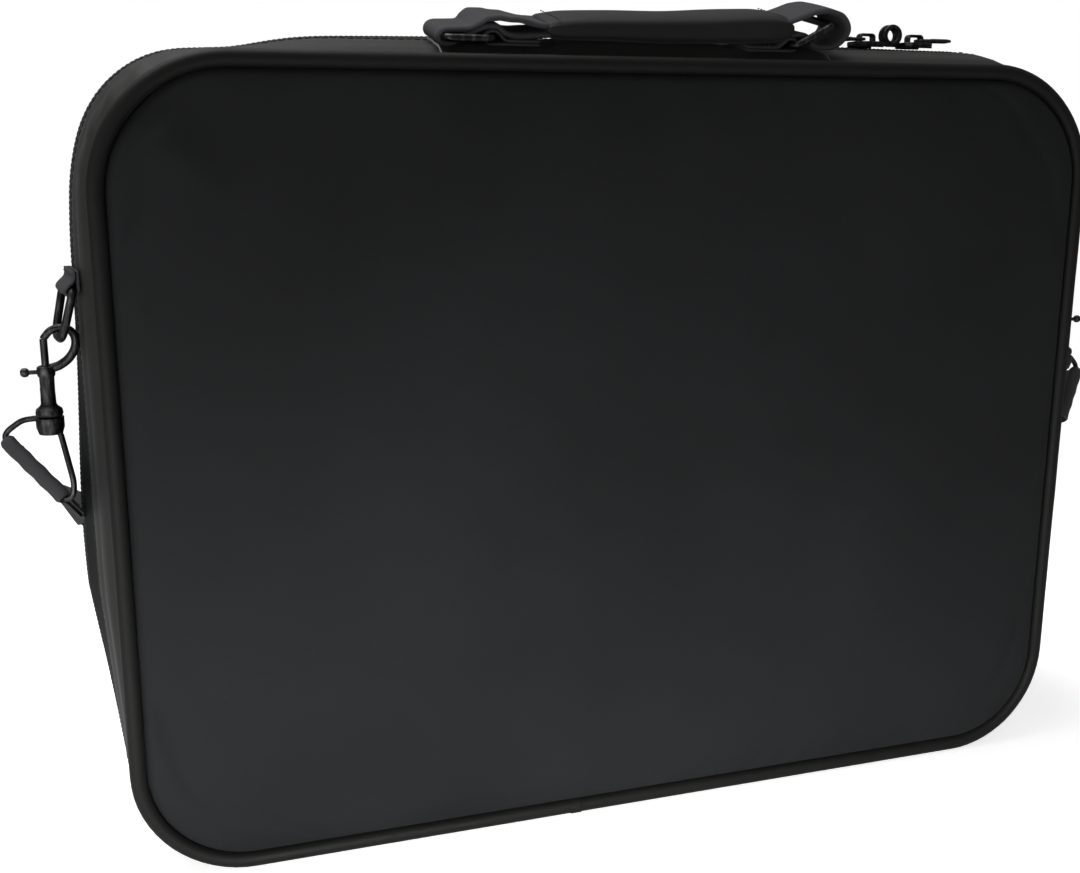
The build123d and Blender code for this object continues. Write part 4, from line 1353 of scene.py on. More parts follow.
@dataclass
class PaddedHalf:
    """One half of the case: its layers of cloth, foam and board, piping and zip.

    Attributes:
        half: which half.
        folds: soft folds of its large panel.
        cloth: the cloth's thickness.
        piping_radius: radius of the piping.
        shoulder: radius of the panel's rolled edge.
        tuck: distance of that edge inside the seam.
        teeth_pitch: from one zip tooth to the next.
    """

    half: Half
    folds: Sequence[Fold] = ()
    cloth: float = 1.2
    piping_radius: float = 3.05
    piping_out: float = 3.75
    piping_depth: float = 2.9
    wire_radius: float = 1.2
    shoulder: float = 3.6
    tuck: float = -0.4
    teeth_pitch: float = 1.55
    lining_lift: float = -5.7
    lining_cloth: float = 0.8
    pinch: float = 2.2
    pinch_at: Flat = (-188.0, 292.0)
    pinch_size: float = 13.0

    def name(self, part: str) -> str:
        """Name of one of the half's pieces."""
        return f"{self.half.word}_{part}"

    def seat(self, piece: Piece, finish: Cloth | Hard, slot: str, *nodes: str) -> Piece:
        """Dresses a piece and puts it on this half."""
        dress(piece, finish)
        return seat(piece, self.half.body, *nodes)

    def panel(self, slack: Array | None) -> None:
        """The large padded panel, rolled over at its edge.

        Args:
            slack: how far the settled cloth stands out over a coarse grid, or None.
        """
        x, z = FORM.panel_grid(self.tuck)
        edge = FORM.panel_edge(x, z, self.tuck)
        over = np.clip(self.shoulder - edge, 0, self.shoulder)
        drop = self.shoulder - np.sqrt(np.clip(self.shoulder**2 - over**2, 0, None))
        high = np.clip((z - FORM.top + 60) / 50, 0, 1)
        drop = drop + (0.2 + 0.35 * high) * np.clip(1 - edge / 15, 0, 1) ** 2
        pinch = self.pinch * bump(x, self.pinch_at[0], self.pinch_size) * bump(z, self.pinch_at[1],
                self.pinch_size)
        drop = drop + pinch * np.clip(1 - edge / 12, 0, 1)
        calm = np.clip(edge / 26, 0, 1)
        calm = calm * calm * (3 - 2 * calm)
        lift = 0.55 * calm + sum(fold.lift(x, z) for fold in self.folds) * ramp(edge, 1.5, 9)
        plane = xyz(x, np.zeros_like(x), z)
        lift = lift + calm * (0.16 * lumps(plane, 60, 3 + self.half.value) + 0.05 * lumps(plane, 17, 5))
        if slack is not None:
            lift = lift + resampled(slack, *x.shape) * np.clip(edge / 8, 0, 1)
        sign = self.half.value
        y = sign * (FORM.depth - drop + lift)
        front = xyz(x, y, z)
        back = xyz(x, sign * (FORM.depth - self.shoulder - 2 * self.cloth), z)
        self.seat(slab(self.name("panel_cloth"), front, back), NYLON, "nylon", self.name("panel"))
        bpy.data.objects[self.name("panel_cloth")]

    def piping(self) -> None:
        """Thick piping round the panel, with its join in the base."""
        flat = FORM.loop(self.piping_out, self.piping_out)
        y = np.full(len(flat), self.half.value * (FORM.depth - self.piping_depth))
        path = xyz(flat[:, 0], y, flat[:, 1])
        piece = tube(self.name("piping"), path, self.piping_radius, closed=True, sides=18, wobble=0.10)
        co = np.empty(len(piece.data.vertices) * 3)
        piece.data.vertices.foreach_get("co", co)
        co[2::3] = np.maximum(co[2::3], 0.0)
        piece.data.vertices.foreach_set("co", co)
        self.seat(piece, SHADED_PIPING, "piping", self.name("rim"))
        wire = tube(self.name("piping_wire"), path, self.wire_radius, closed=True, sides=8)
        seat(dress(wire, SPRING), self.half.body, self.name("rim_wire"))
        turns = 2 * math.pi * np.arange(25) / 24
        wrap = self.piping_radius + 0.1
        around = xyz(FORM.join_x, path[0, 1] + wrap * np.cos(turns), path[0, 2] + wrap * np.sin(turns))
        around[:, 2] = np.maximum(around[:, 2], 0.2)
        lap = ribbon(self.name("piping_lap"), around[:-1], (1, 0, 0), 5.0, 0.5, closed=True, across=8)
        self.seat(lap, SHADED_PIPING, "piping")

    def sides(self) -> None:
        """The side cloth, from behind the piping to the zip tape."""
        rows = [FORM.ring(self.half, depth, lift) for depth, lift in ((4.6, -2.6), (5.8, -1.5), (7.0, -0.7))]
        rows += [FORM.surface(self.half, float(depth))
                 for depth in np.concatenate([np.linspace(8.2, 31.6, 22), [32.4, 33.1]])]
        rows += [FORM.ring(self.half, 33.5, -0.25), FORM.ring(self.half, 33.3, -self.cloth),
                 FORM.ring(self.half, 20.0, -self.cloth - 0.4), FORM.ring(self.half, 7.0, -self.cloth - 0.7)]
        piece = skin(self.name("side_cloth"), np.array(rows), wrap_rows=True)
        self.seat(piece, LIT_SIDE_NYLON, "nylon", self.name("gusset"))
        run = FORM.zip_run()
        seams = [(FORM.surface(self.half, 31.7, 0.2)[run], False),
                 (FORM.surface(self.half, 10.2, 0.15), True)]
        self.seat(stitches(self.name("side_stitches"), seams), THREAD, "tape")

    def zip(self) -> None:
        """Zip tape and a row of teeth on the half's open edge."""
        run = FORM.zip_run()
        lifts = ((32.2, -0.9), (33.2, -0.55), (36.0, -0.5), (39.9, -0.4), (40.6, -0.5))
        outer = [FORM.ring(self.half, d, lift)[run] for d, lift in lifts]
        inner = [FORM.ring(self.half, d, -1.15)[run] for d in (40.6, 36.0, 32.2)]
        tape = skin(self.name("zip_tape_cloth"), np.array(outer + inner), wrap_rows=True, wrap_cols=False)
        self.seat(tape, TAPE, "tape", self.name("zip_tape"))
        line = FORM.ring(self.half, 41.25, -1.55)[run]
        if self.half is Half.FRONT:
            line = line[1:]
        teeth = row_of(self.name("zip_teeth"), [(line, False)], capsule(1.25, 2.5, 1.9, 8), self.teeth_pitch,
                       TEETH, uneven=0.0)
        seat(teeth, self.half.body, self.name("zip_coil"))
        core = stitches(self.name("coil_stitches"), [(FORM.ring(self.half, 39.6, -0.36)[run], False)], 1.6,
                        0.34, 1.95)
        self.seat(core, THREAD, "tape")

    def lining(self) -> None:
        """Lining of the panel and sides, and the binding over the foam's edge."""
        sign = self.half.value
        x, z = FORM.panel_grid(2.6, 90, 70)
        edge = FORM.panel_edge(x, z, 2.6)
        calm = np.clip(edge / 20, 0, 1)
        plane = xyz(x, np.zeros_like(x), z)
        puff = calm * (0.5 + 0.3 * lumps(plane, 45, 9))
        inner = xyz(x, sign * (FORM.depth - FORM.crease_depth + 0.02 * puff), z)
        outer = xyz(x, sign * (FORM.depth - 7.7), z)
        self.seat(slab(self.name("panel_lining"), inner, outer), LINING, "lining", self.name("lining"))
        depths = (8.6, 12.0, 16.0, 20.0, 25.0, 30.0, 35.0, 38.8)
        flat = FORM.loop(4.0, 0.0)
        travel = np.cumsum(np.linalg.norm(np.diff(flat, axis=0, prepend=flat[:1]), axis=1))
        rows = [FORM.ring(self.half, d, self.lining_lift) for d in depths]
        for d in reversed(depths):
            wave = 0.25 * np.sin(travel / 19) * math.exp(-(((d - 22) / 9) ** 2))
            rows.append(FORM.ring(self.half, d, self.lining_lift - self.lining_cloth, wave))
        self.seat(skin(self.name("side_lining"), np.array(rows), wrap_rows=True), LINING, "lining",
                  self.name("gusset_lining"))
        bends = ((34.5, -7.1), (38.9, -7.2), (39.8, -6.6), (40.2, -5.4), (40.2, -2.2), (39.8, -1.35),
                 (39.2, -1.9), (39.2, -5.6), (38.6, -6.45), (34.5, -6.5))
        binding = skin(self.name("edge_binding"),
                       np.array([FORM.ring(self.half, d, lift) for d, lift in bends]), wrap_rows=True)
        self.seat(binding, TAPE, "tape")
        row = stitches(self.name("binding_stitches"), [(FORM.ring(self.half, 36.0, -7.25), True)], 2.4, 0.4,
                       3.2)
        self.seat(row, THREAD, "tape")

    def hidden_layers(self) -> None:
        """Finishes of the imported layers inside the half."""
        for part, finish in (("board", BOARD), ("foam", FOAM)):
            dress_node(self.name(part), finish)
        depths = (9.0, 14.0, 19.0, 24.0, 29.0, 34.0, 38.6)
        rows = [FORM.ring(self.half, d, -self.cloth - 0.5) for d in depths]
        rows += [FORM.ring(self.half, d, self.lining_lift + 0.05) for d in reversed(depths)]
        piece = skin(self.name("side_foam"), np.array(rows), wrap_rows=True)
        seat(dress(piece, FOAM), self.half.body, self.name("gusset_foam"))

    def build(self, slack: Array | None) -> None:
        """Builds the whole half.

        Args:
            slack: how far the settled panel cloth stands out, or None.
        """
        self.panel(slack)
        self.piping()
        self.sides()
        self.zip()
        self.lining()
        self.hidden_layers()


@dataclass(frozen=True)
class FabricHinge:
    """Strip of cloth at the base that both halves turn on."""

    half_length: float = 160.0
    reach: float = 9.2
    low: float = 1.7
    thick: float = 1.1
    crowding: float = 1.6
    ripple: float = 0.12
    ripple_length: float = 9.0
    lowest: float = 1.25
    seams: Sequence[float] = (7.6, 5.4)
    seam_lift: float = 0.15

    def build(self) -> None:
        """Builds the strip, flat between the two halves with a slight ripple."""
        t = np.linspace(-1, 1, 29)
        y = np.sign(t) * np.abs(t) ** self.crowding * self.reach
        x = np.linspace(-self.half_length, self.half_length, 81)
        grid_x, grid_y = np.meshgrid(x, y)
        z = self.low + self.ripple * np.sin(grid_x / self.ripple_length) * (1 - (grid_y / self.reach) ** 2)
        z = np.maximum(z, self.lowest)
        piece = slab("hinge_cloth", xyz(grid_x, grid_y, z + self.thick), xyz(grid_x, grid_y, z))
        dress(piece, TAPE)
        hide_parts("back_hinge_strip", "front_hinge_strip")
        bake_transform(piece)
        report(piece)
        for half in Half:
            level = self.low + self.thick + self.seam_lift
            rows = [(xyz(x, half.value * off, level), False) for off in self.seams]
            row = stitches(f"hinge_stitches_{half.word}", rows)
            seat(dress(row, THREAD), half.body)


# ---------------------------------------------------------------- inside the case
def inflated(piece: Piece, voxel: float, cap: float, push: float = 4.0, frames: int = 16) -> Piece:
    """Pad swelled by a cloth simulation under pressure.

    Args:
        piece: the pad's closed mesh, which is used up.
        voxel: size of the simulated faces, millimetres.
        cap: furthest that a point may move, millimetres.
        push: pressure inside the pad.
        frames: length of the simulation.

    Returns:
        The new object, with the same name.
    """
    name = piece.name
    remesh = piece.modifiers.new("voxels", "REMESH")
    remesh.mode, remesh.voxel_size = "VOXEL", voxel * MM
    bpy.context.view_layer.update()
    mesh = bpy.data.meshes.new_from_object(piece.evaluated_get(bpy.context.evaluated_depsgraph_get()))
    bpy.data.objects.remove(piece)
    work = make_object(name + "_cloth", mesh)
    rest = np.array([v.co for v in mesh.vertices])
    final = rest.copy()
    rule = work.modifiers.new("cloth", "CLOTH")
    rule.settings.quality = 4
    rule.settings.mass = 0.3
    rule.settings.use_pressure = True
    rule.settings.uniform_pressure_force = push
    rule.settings.effector_weights.gravity = 0
    rule.point_cache.frame_end = frames
    for k in range(1, frames + 1):
        bpy.context.scene.frame_set(k)
    done = work.evaluated_get(bpy.context.evaluated_depsgraph_get())
    moved = np.array([v.co for v in done.data.vertices]) - rest
    length = np.linalg.norm(moved, axis=1, keepdims=True)
    final = rest + moved / np.maximum(length, 1e-9) * np.minimum(length, cap * MM)
    bpy.context.scene.frame_set(1)
    work.modifiers.clear()
    mesh.vertices.foreach_set("co", final.astype(np.float32).ravel())
    smooth = work.modifiers.new("smooth", "SUBSURF")
    smooth.levels = smooth.render_levels = 1
    bpy.context.view_layer.update()
    made = bpy.data.meshes.new_from_object(work.evaluated_get(bpy.context.evaluated_depsgraph_get()))
    bpy.data.objects.remove(work)
    made.shade_smooth()
    return make_object(name, made)


@dataclass(frozen=True)
class Interior:
    """Pads, straps, organiser and pen loops inside the two halves."""

    laptop_half: Flat = (181.0, 131.0)
    middle: float = 155.4
    pad_reach: Flat = (65.0, 64.0)
    pad_depth: Flat = (-33.8, -13.2)
    inset: float = 2.7
    strap_y: float = -33.1
    strap_length: float = 330.0
    sheet_y: float = 33.4
    sheet_size: Flat = (340.0, 230.0)
    gap: float = 12.0
    low_sleeve: float = 103.5
    high_sleeve: float = 64.4
    laptop_gap: float = 0.6
    wall_gap: float = 0.5
    pad_edge: float = 1.4
    pad_puff: float = 2.4
    strap_rise: float = 48.0
    strap_width: float = 25.0
    strap_thick: float = 1.5
    closer_width: float = 20.0
    closer_span: Flat = (33.0, 99.0)
    pen_place: Flat = (85.0, 26.8)
    pen_step: float = 15.0
    pen_wall: Sequence[Flat] = ((5.15, -15.6), (5.85, -15.9), (6.0, -15.0), (5.9, 0.0), (6.0, 15.0),
                                (5.85, 15.9), (5.15, 15.6), (5.0, 0.0))

    def pads(self) -> None:
        """Four corner pads of covered foam."""
        lx, lz = self.laptop_half
        made = []
        for sx in (-1, 1):
            for sz in (-1, 1):
                radius = (FORM.upper if sz > 0 else FORM.lower) - self.inset
                ox = FORM.half_width - self.inset
                oz = (FORM.top - FORM.base) / 2 - self.inset
                ix, iz = FORM.half_width - self.pad_reach[0], (FORM.top - FORM.base) / 2 - self.pad_reach[1]
                near_x, near_z = lx + self.laptop_gap, lz + self.laptop_gap
                far_x, far_z = ox - self.wall_gap, oz - self.wall_gap
                corners = [(ix, near_z), (near_x, near_z), (near_x, iz), (far_x, iz), (far_x, far_z),
                           (ix, far_z)]
                path = filleted(corners, [3, 3, 3, 3, radius, 3], 4.0)
                path = path * np.array([sx, sz]) + np.array([0, self.middle])
                low, high = self.pad_depth
                place = Matrix(((1, 0, 0, 0), (0, 0, 1, (low + high) / 2), (0, 1, 0, 0), (0, 0, 0, 1)))
                pad = cut_plate(f"corner_pad_{len(made) + 1}", [path], high - low - self.pad_puff,
                                self.pad_edge, place)
                made.append(inflated(pad, 4.0, 1.5))
        pads = joined("corner_pads", made)
        dress(pads, PAD_CLOTH)
        seat(pads, Body.BACK, "laptop_pads")

    def straps(self) -> None:
        """Two retaining straps with their closing pads."""
        made, seams = [], []
        half = self.strap_length / 2
        for z in (self.middle - self.strap_rise, self.middle + self.strap_rise):
            x = np.linspace(-half, half, 60)
            y = self.strap_y + 0.25 * np.sin(x / 23.0)
            made.append(ribbon("strap", xyz(x, y, z), (0, 0, 1), self.strap_width, self.strap_thick))
            x = np.linspace(*self.closer_span, 12)
            made.append(ribbon("closer", xyz(x, self.strap_y + 1.6, z), (0, 0, 1), self.closer_width,
                               self.strap_thick))
            for end in (-1, 1):
                outer, inner, rise = end * (half - 3), end * (half - 15), 10
                box = np.array([(outer, -rise), (inner, -rise), (inner, rise), (outer, rise)])
                loop = filleted(box, [0] * 4, 1.5)
                seams.append((xyz(loop[:, 0], self.strap_y + 0.95, loop[:, 1] + z), True))
        seat(dress(joined("retaining_straps", made), WEBBING), Body.BACK, "laptop_straps")
        seat(dress(stitches("retaining_stitches", seams, 2.0, 0.4, 2.6), THREAD), Body.BACK)

    def sleeve(self, name: str, x: float, z: float, width: float, height: float) -> tuple[Piece, Array]:
        """One flat pocket of the organiser, slack at its open top.

        Args:
            name: name of the pocket.
            x: middle of its width.
            z: its lower edge.
            width: its width.
            height: its height.

        Returns:
            The pocket, and the seam round its three sewn sides.
        """
        u, v = np.meshgrid(np.linspace(-1, 1, 41), np.linspace(0, 1, 25))
        slack = (1 - u**2) * v**1.5
        y = self.sheet_y - 0.9 - 1.2 * slack - 0.12 * np.sin(u * 9 + v * 4) * slack
        grid_x, grid_z = x + u * width / 2, z + v * height - 1.2 * (1 - u**2) * (v > 0.97)
        piece = slab(name, xyz(grid_x, y, grid_z), xyz(grid_x, y + 0.7, grid_z))
        half = width / 2 - 2.5
        seam = filleted([(x - half, z + height - 3), (x - half, z + 2.5), (x + half, z + 2.5),
                         (x + half, z + height - 3)], [0, 2, 2, 0], 2.0, False)
        return piece, xyz(seam[:, 0], self.sheet_y - 1.15, seam[:, 1])

    def organiser(self) -> None:
        """Sheet with one wide and two small pockets in the front half."""
        width, height = self.sheet_size
        u, v = np.meshgrid(np.linspace(-1, 1, 61), np.linspace(-1, 1, 41))
        y = self.sheet_y + 0.12 * np.sin(u * 7) * np.cos(v * 5) * (1 - u**8) * (1 - v**8)
        x, z = u * width / 2, self.middle + v * height / 2
        sheet = slab("organiser_sheet", xyz(x, y - 0.45, z), xyz(x, self.sheet_y + 0.5, z))
        wide = width - 2 * self.gap
        base = self.middle - height / 2 + self.gap
        small = (wide - self.gap) / 2
        upper = base + self.low_sleeve + self.gap
        parts, seams = [sheet], []
        tops = []
        for name, cx, cz, w, h in (("wide", 0.0, base, wide, self.low_sleeve),
                                   ("left", -(small + self.gap) / 2, upper, small, self.high_sleeve),
                                   ("right", (small + self.gap) / 2, upper, small, self.high_sleeve)):
            piece, seam = self.sleeve(name, cx, cz, w, h)
            parts.append(piece)
            seams.append((seam, False))
            t = np.linspace(-1, 1, 41)
            line = xyz(cx + t * w / 2, self.sheet_y - 0.55 - 1.2 * (1 - t**2), cz + h - 3.2)
            tops.append(ribbon(f"{name}_binding", line, (0, 0, 1), 7.0, 1.3))
        inside = np.array([(-1, -1), (1, -1), (1, 1), (-1, 1)]) * np.array([width / 2 - 3, height / 2 - 3])
        loop = filleted(inside, [4] * 4, 3.0)
        seams.append((xyz(loop[:, 0], self.sheet_y - 0.75, loop[:, 1] + self.middle), True))
        seat(dress(joined("organiser_cloth", parts), LINING), Body.FRONT, "organiser")
        seat(dress(joined("organiser_bindings", tops), TAPE), Body.FRONT)
        seat(dress(stitches("organiser_stitches", seams), THREAD), Body.FRONT)

    def pens(self) -> None:
        """Three elastic loops for pens."""
        made = []
        z = self.middle + (self.sheet_size[1] - 32.0) / 2 - 3.0
        for k in (-1, 0, 1):
            cx, cy = self.pen_place[0] + k * self.pen_step, self.pen_place[1]
            rows = []
            for radius, high in self.pen_wall:
                a = 2 * math.pi * np.arange(28) / 28
                rows.append(xyz(cx + radius * np.cos(a), cy + radius * np.sin(a), z + high))
            made.append(skin(f"pen_{k + 2}", np.array(rows), wrap_rows=True))
        seat(dress(joined("pen_bands", made), TAPE), Body.FRONT, "pen_loops")

    def build(self) -> None:
        """Builds everything inside the halves."""
        self.pads()
        self.straps()
        self.organiser()
        self.pens()


@dataclass(frozen=True)
class SlipPocket:
    """Open pocket on the outside of the front half."""

    half_width: float = 165.0
    base: float = 24.0
    top: float = 235.0
    panel_y: float = 42.5
    depth: float = 8.6
    wall: float = 1.4
    corner: float = 22.0
    roll: float = 9.0
    seam_in: float = 1.6
    hem: Sequence[Flat] = ((0.7, -15.5), (0.9, -8.0), (0.8, -0.5), (0.2, 0.8), (-1.3, 0.9), (-2.1, -0.3),
                           (-2.1, -9.0), (-1.5, -9.4), (-1.4, -0.8), (0.1, -0.9), (0.0, -15.6))

    def build(self) -> None:
        """Builds the pocket, its bound edge and its stitches."""
        t, s = np.linspace(0, 1, 70), np.linspace(-1, 1, 110)
        s = np.sign(s) * (1 - (1 - np.abs(s)) ** 1.8)
        z = self.base + (self.top - self.base) * t**1.4
        low = np.clip(self.corner - (z - self.base), 0, self.corner)
        wide = self.half_width - self.corner + np.sqrt(np.clip(self.corner**2 - low**2, 0.5, None))
        x, zz = np.outer(wide, s), np.repeat(z[:, None], 110, 1)
        gap = np.minimum(wide[:, None] - np.abs(x), zz - self.base)
        rise = np.sqrt(np.clip(1 - (1 - np.clip(gap / self.roll, 0, 1)) ** 2, 0, 1))
        plane = xyz(x, np.zeros_like(x), zz)
        slack = rise * (0.35 * lumps(plane, 70, 12) + 0.3 * np.sin(zz / 31 + x / 60))
        y = self.panel_y + 0.9 + (self.depth - 0.9) * rise + slack
        front = xyz(x, y, zz)
        back = xyz(x, np.maximum(y - self.wall, self.panel_y + 0.35), zz)
        seat(dress(slab("pocket_cloth", front, back), NYLON), Body.FRONT, "front_pocket")
        edge = front[-1]
        rows = []
        for dy, dz in self.hem:
            row = edge + np.array([0, dy, dz])
            row[:, 1] = np.maximum(row[:, 1], self.panel_y + 0.5)
            rows.append(row)
        seat(dress(skin("pocket_binding", np.array(rows), wrap_rows=True, wrap_cols=False), TAPE),
             Body.FRONT, "pocket_hem")
        seams = [(edge + np.array([0, 1.1, -13.0]), False), (edge + np.array([0, 1.15, -2.4]), False)]
        side, high, low = self.half_width - self.seam_in, self.top - 6, self.base + self.seam_in
        bend = self.corner - self.seam_in
        bottom = filleted([(-side, high), (-side, low), (side, low), (side, high)], [0, bend, bend, 0], 2.5,
                          False)
        rise = self.panel_y + 0.9 + (self.depth - 0.9) * math.sqrt(1 - (1 - self.seam_in / self.roll) ** 2)
        seams.append((xyz(bottom[:, 0], rise + 0.2, bottom[:, 1]), False))
        seat(dress(stitches("pocket_stitches", seams), THREAD), Body.FRONT)


# ---------------------------------------------------------------- carry handle
@dataclass(frozen=True)
class Frame:
    """Drawing plane: its origin, its two directions and the way it faces, millimetres."""

    origin: Point
    across: Point
    up: Point

    @property
    def face(self) -> Array:
        """Direction square to the plane."""
        return np.cross(self.across, self.up)

    def place(self, flat: Array, off: float = 0.0) -> Array:
        """Points of the plane in the part's frame, `off` in front of it."""
        flat = np.asarray(flat, float)
        return (np.array(self.origin) + flat[:, :1] * np.array(self.across) + flat[:, 1:2] * np.array(self.up)
                + self.face * off)


@dataclass(frozen=True)
class CarryHandle:
    """Padded handle on webbing loops, wire links and sewn tabs."""

    plane: Frame = Frame((2.0, -22.0, 319.432), (1, 0, 0), (0, -0.2079, 0.9781))
    tab_reach: float = 62.5
    fold: float = 2.4
    width: float = 24.0
    web: float = 2.0
    left_bar: Flat = (-80.0, 0.0)
    grip_left: float = -41.0
    grip_level: float = 3.3
    grip_length: float = 103.0
    grip_thick: float = 10.6
    grip_width: float = 28.0
    grip_slope: float = 1.25
    padding: float = 0.35
    fullness: Flat = (0.78, 0.32)
    patch_reach: float = 81.0
    patch_swell: float = 1.6

    def patch(self) -> None:
        """Reinforcing patch sewn across the top of the back half, with a pale strip at each end that is a
        painted highlight.
        """
        depths = np.array([8.9, 9.3, 12.0, 15.0, 18.0, 21.0, 24.0, 27.0, 30.0, 32.6])
        centre = self.plane.origin[0]
        x = np.linspace(-self.patch_reach, self.patch_reach, 90) + centre
        middle = np.clip((40 - np.abs(x - centre)) / 8, 0, 1)
        swell = self.patch_swell * middle * middle * (3 - 2 * middle)
        top = [FORM.top_line(Half.BACK, d, x, 0.95) for d in depths]
        for line, d in zip(top, depths):
            line[:, 2] += swell * math.sin(math.pi * (d - depths[0]) / (depths[-1] - depths[0]))
        under = [FORM.top_line(Half.BACK, d, x, 0.12) for d in depths]
        top[0] = FORM.top_line(Half.BACK, depths[0], x, 0.4)
        piece = slab("handle_patch_cloth", np.array(top), np.array(under))
        seat(dress(piece, PATCH), Body.BACK, "handle_patch")
        # Pale strips at the patch's ends, where the links' outer bars lie: a painted highlight.
        ends = []
        for sign in (-1, 1):
            at = np.array([centre + sign * (self.patch_reach + 0.1)])
            line = np.concatenate([FORM.top_line(Half.BACK, d, at, 0.45) for d in depths])
            ends.append(ribbon("end", line, (0, 0, 1), 0.95, 0.5))
        seat(dress(joined("handle_patch_ends", ends), PAINTED_HIGHLIGHT), Body.BACK)
        inner = self.patch_reach - 3.0
        sides = [np.concatenate([FORM.top_line(Half.BACK, d, np.array([centre + s * inner]), 1.05)
                                 for d in depths[1:]]) for s in (-1, 1)]
        lines = [(line, False) for line in sides]
        along = np.linspace(-inner, inner, 60) + centre
        lines += [(FORM.top_line(Half.BACK, d, along, lift), False)
                  for d, lift in ((11.2, 1.08), (31.2, 1.02))]
        seat(dress(stitches("handle_patch_stitches", lines, 2.2, 0.45, 2.9), THREAD), Body.BACK)

    def tabs(self) -> None:
        """Two webbing tabs folded round the links, sewn down in a crossed box."""
        for side in Side:
            s, f = side.value, self.fold
            corners = np.array([(43.7, -2.35), (self.tab_reach + f, -2.35), (self.tab_reach + f, f),
                                (60.4, f), (56.8, -1.1), (43.7, -1.1)])
            flat = softened(filleted(corners, [0, 2.3, 2.3, 2.0, 2.2, 0], 0.8, False), 2,
                            False) * np.array([s, 1])
            piece = ribbon(f"tab_{side.word}", self.plane.place(flat), self.plane.face, self.width, 1.15)
            seat(dress(piece, WEBBING), Body.BACK, f"handle_tab_{side.word}")
            box = np.array([(45.6, -9.6), (55.2, -9.6), (55.2, 9.6), (45.6, 9.6)])
            rows = [(filleted(box, [0.5] * 4, 1.4), True), (np.linspace(box[0], box[2], 14), False),
                    (np.linspace(box[1], box[3], 14), False)]
            seams = []
            for row, closed in rows:
                level = np.full(len(row), -0.42)
                flat = np.stack([row[:, 0] * s, level], 1)
                seams.append((self.plane.place(flat) + self.plane.face * row[:, 1:2], closed))
            seat(dress(stitches(f"tab_stitches_{side.word}", seams, 1.7, 0.42, 2.2), THREAD),
                 Body.BACK)

    def half_thick(self, t: float) -> float:
        """Half of the sleeve's thickness at a share of its length, before its ends are gathered."""
        return (self.grip_thick / 2 + self.padding) * (self.fullness[0] + self.fullness[1] * t)

    def grip_end(self, right: bool) -> Flat:
        """Middle of one end of the padded sleeve, in the handle's plane."""
        turn = math.radians(self.grip_slope)
        reach = self.grip_length if right else 0.0
        return self.grip_left + reach * math.cos(turn), self.grip_level + reach * math.sin(turn)

    def loops(self) -> None:
        """Webbing loops between the sleeve and the links."""
        t, x, mid = self.tab_reach, self.left_bar[0], 2.55
        left = [(-37.0, 1.6), (-50.0, 0.6), (-57.0, 1.2), (-60.0, 3.9), (-65.0, 3.9),
                (x + mid, -mid), (x - mid, -mid), (x - mid, mid), (-70.5, 2.7), (-68.6, 4.6),
                (-65.6, 6.5), (-60.0, 7.0), (-53.0, 6.6), (-46.0, 4.9), (-37.0, 4.5)]
        left_radii = [0.7, 8, 4, 2, 3, 2.5, 2.4, 2.4, 2.5, 4, 3, 6, 8, 6, 0.7]
        gx, gz = self.grip_end(True)
        right = [(gx - 4, gz - 2.2), (t + 1.0, 4.1), (t + 5.5, 4.1), (73.0, -0.5), (80.6, -0.8), (86.2, 2.2),
                 (87.2, 7.3), (83.2, 12.0), (77.0, 13.6), (70.3, 12.6), (gx - 4, gz + 2.4)]
        right_radii = [0.7, 5, 3, 4, 6, 6, 5, 6, 8, 6, 0.7]
        for side, corners, radii, skew in ((Side.LEFT, left, left_radii, 0.16),
                                           (Side.RIGHT, right, right_radii, 0.05)):
            flat = softened(filleted(corners, radii, 0.8), 6, True)
            bent = 0.35 * lumps(xyz(flat[:, 0], flat[:, 1], flat[:, 0] * 0), 9.0, 4)
            path = self.plane.place(flat + np.stack([bent * 0.4, bent], 1) * (np.abs(flat[:, :1]) > 45))
            high = ramp(flat[:, 1], 3.0, 3.0)[:, None]
            edge = self.plane.face + np.array(self.plane.across) * skew * high
            piece = ribbon(f"loop_{side.word}", path, edge, self.width - 0.4, self.web, closed=True,
                           crown=0.3)
            seat(dress(piece, WEBBING), Body.HANDLE, f"handle_loop_{side.word}")

    def sleeve(self) -> None:
        """Padded sleeve, swelled a little and gathered at its sewn ends."""
        (ax, az), (bx, bz) = self.grip_end(False), self.grip_end(True)
        way = unit(np.array([bx - ax, bz - az]))
        up = np.array([-way[1], way[0]])
        angles = 2 * math.pi * np.arange(56) / 56
        cols = []
        for t in np.concatenate([np.linspace(0, 0.07, 8), np.linspace(0.085, 0.915, 60),
                                 np.linspace(0.93, 1, 8)]):
            end = min(t, 1 - t) * self.grip_length
            mouth = 1 - 0.24 * math.exp(-((end / 6.0) ** 2)) - 0.30 * math.exp(-((end / 1.0) ** 2))
            wide = 1 - 0.07 * math.exp(-((end / 7.0) ** 2)) - 0.05 * math.exp(-((end / 1.0) ** 2))
            middle = np.array([ax, az]) + way * t * self.grip_length
            power = 2 / 3.4
            u = np.sign(np.cos(angles)) * np.abs(np.cos(angles)) ** power * self.grip_width / 2 * wide
            v = np.sign(np.sin(angles)) * np.abs(np.sin(angles)) ** power * self.half_thick(t) * mouth
            pucker = 0.16 * np.sin(angles * 11 + 3 * t) * math.exp(-((end / 9.0) ** 2))
            place = xyz(t * self.grip_length * 0.55, u, v)
            v = v * (1 + 0.07 * lumps(place, 15.0, 3)) + pucker + 0.3 * math.sin(t * 9.0)
            flat = middle + up * v[:, None]
            cols.append(self.plane.place(flat) + self.plane.face * u[:, None])
        piece = skin("grip_sleeve", np.array(cols), wrap_rows=False)
        seat(dress(piece, SLEEVE), Body.HANDLE, "handle_sleeve", "handle_core")
        seams = []
        for share in (0.045, 0.955):
            middle = np.array([ax, az]) + way * share * self.grip_length
            mouth = 1 - 0.24 * math.exp(-((0.045 * self.grip_length / 6.0) ** 2))
            u = np.linspace(-11.5, 11.5, 20)
            for sign in (1, -1):
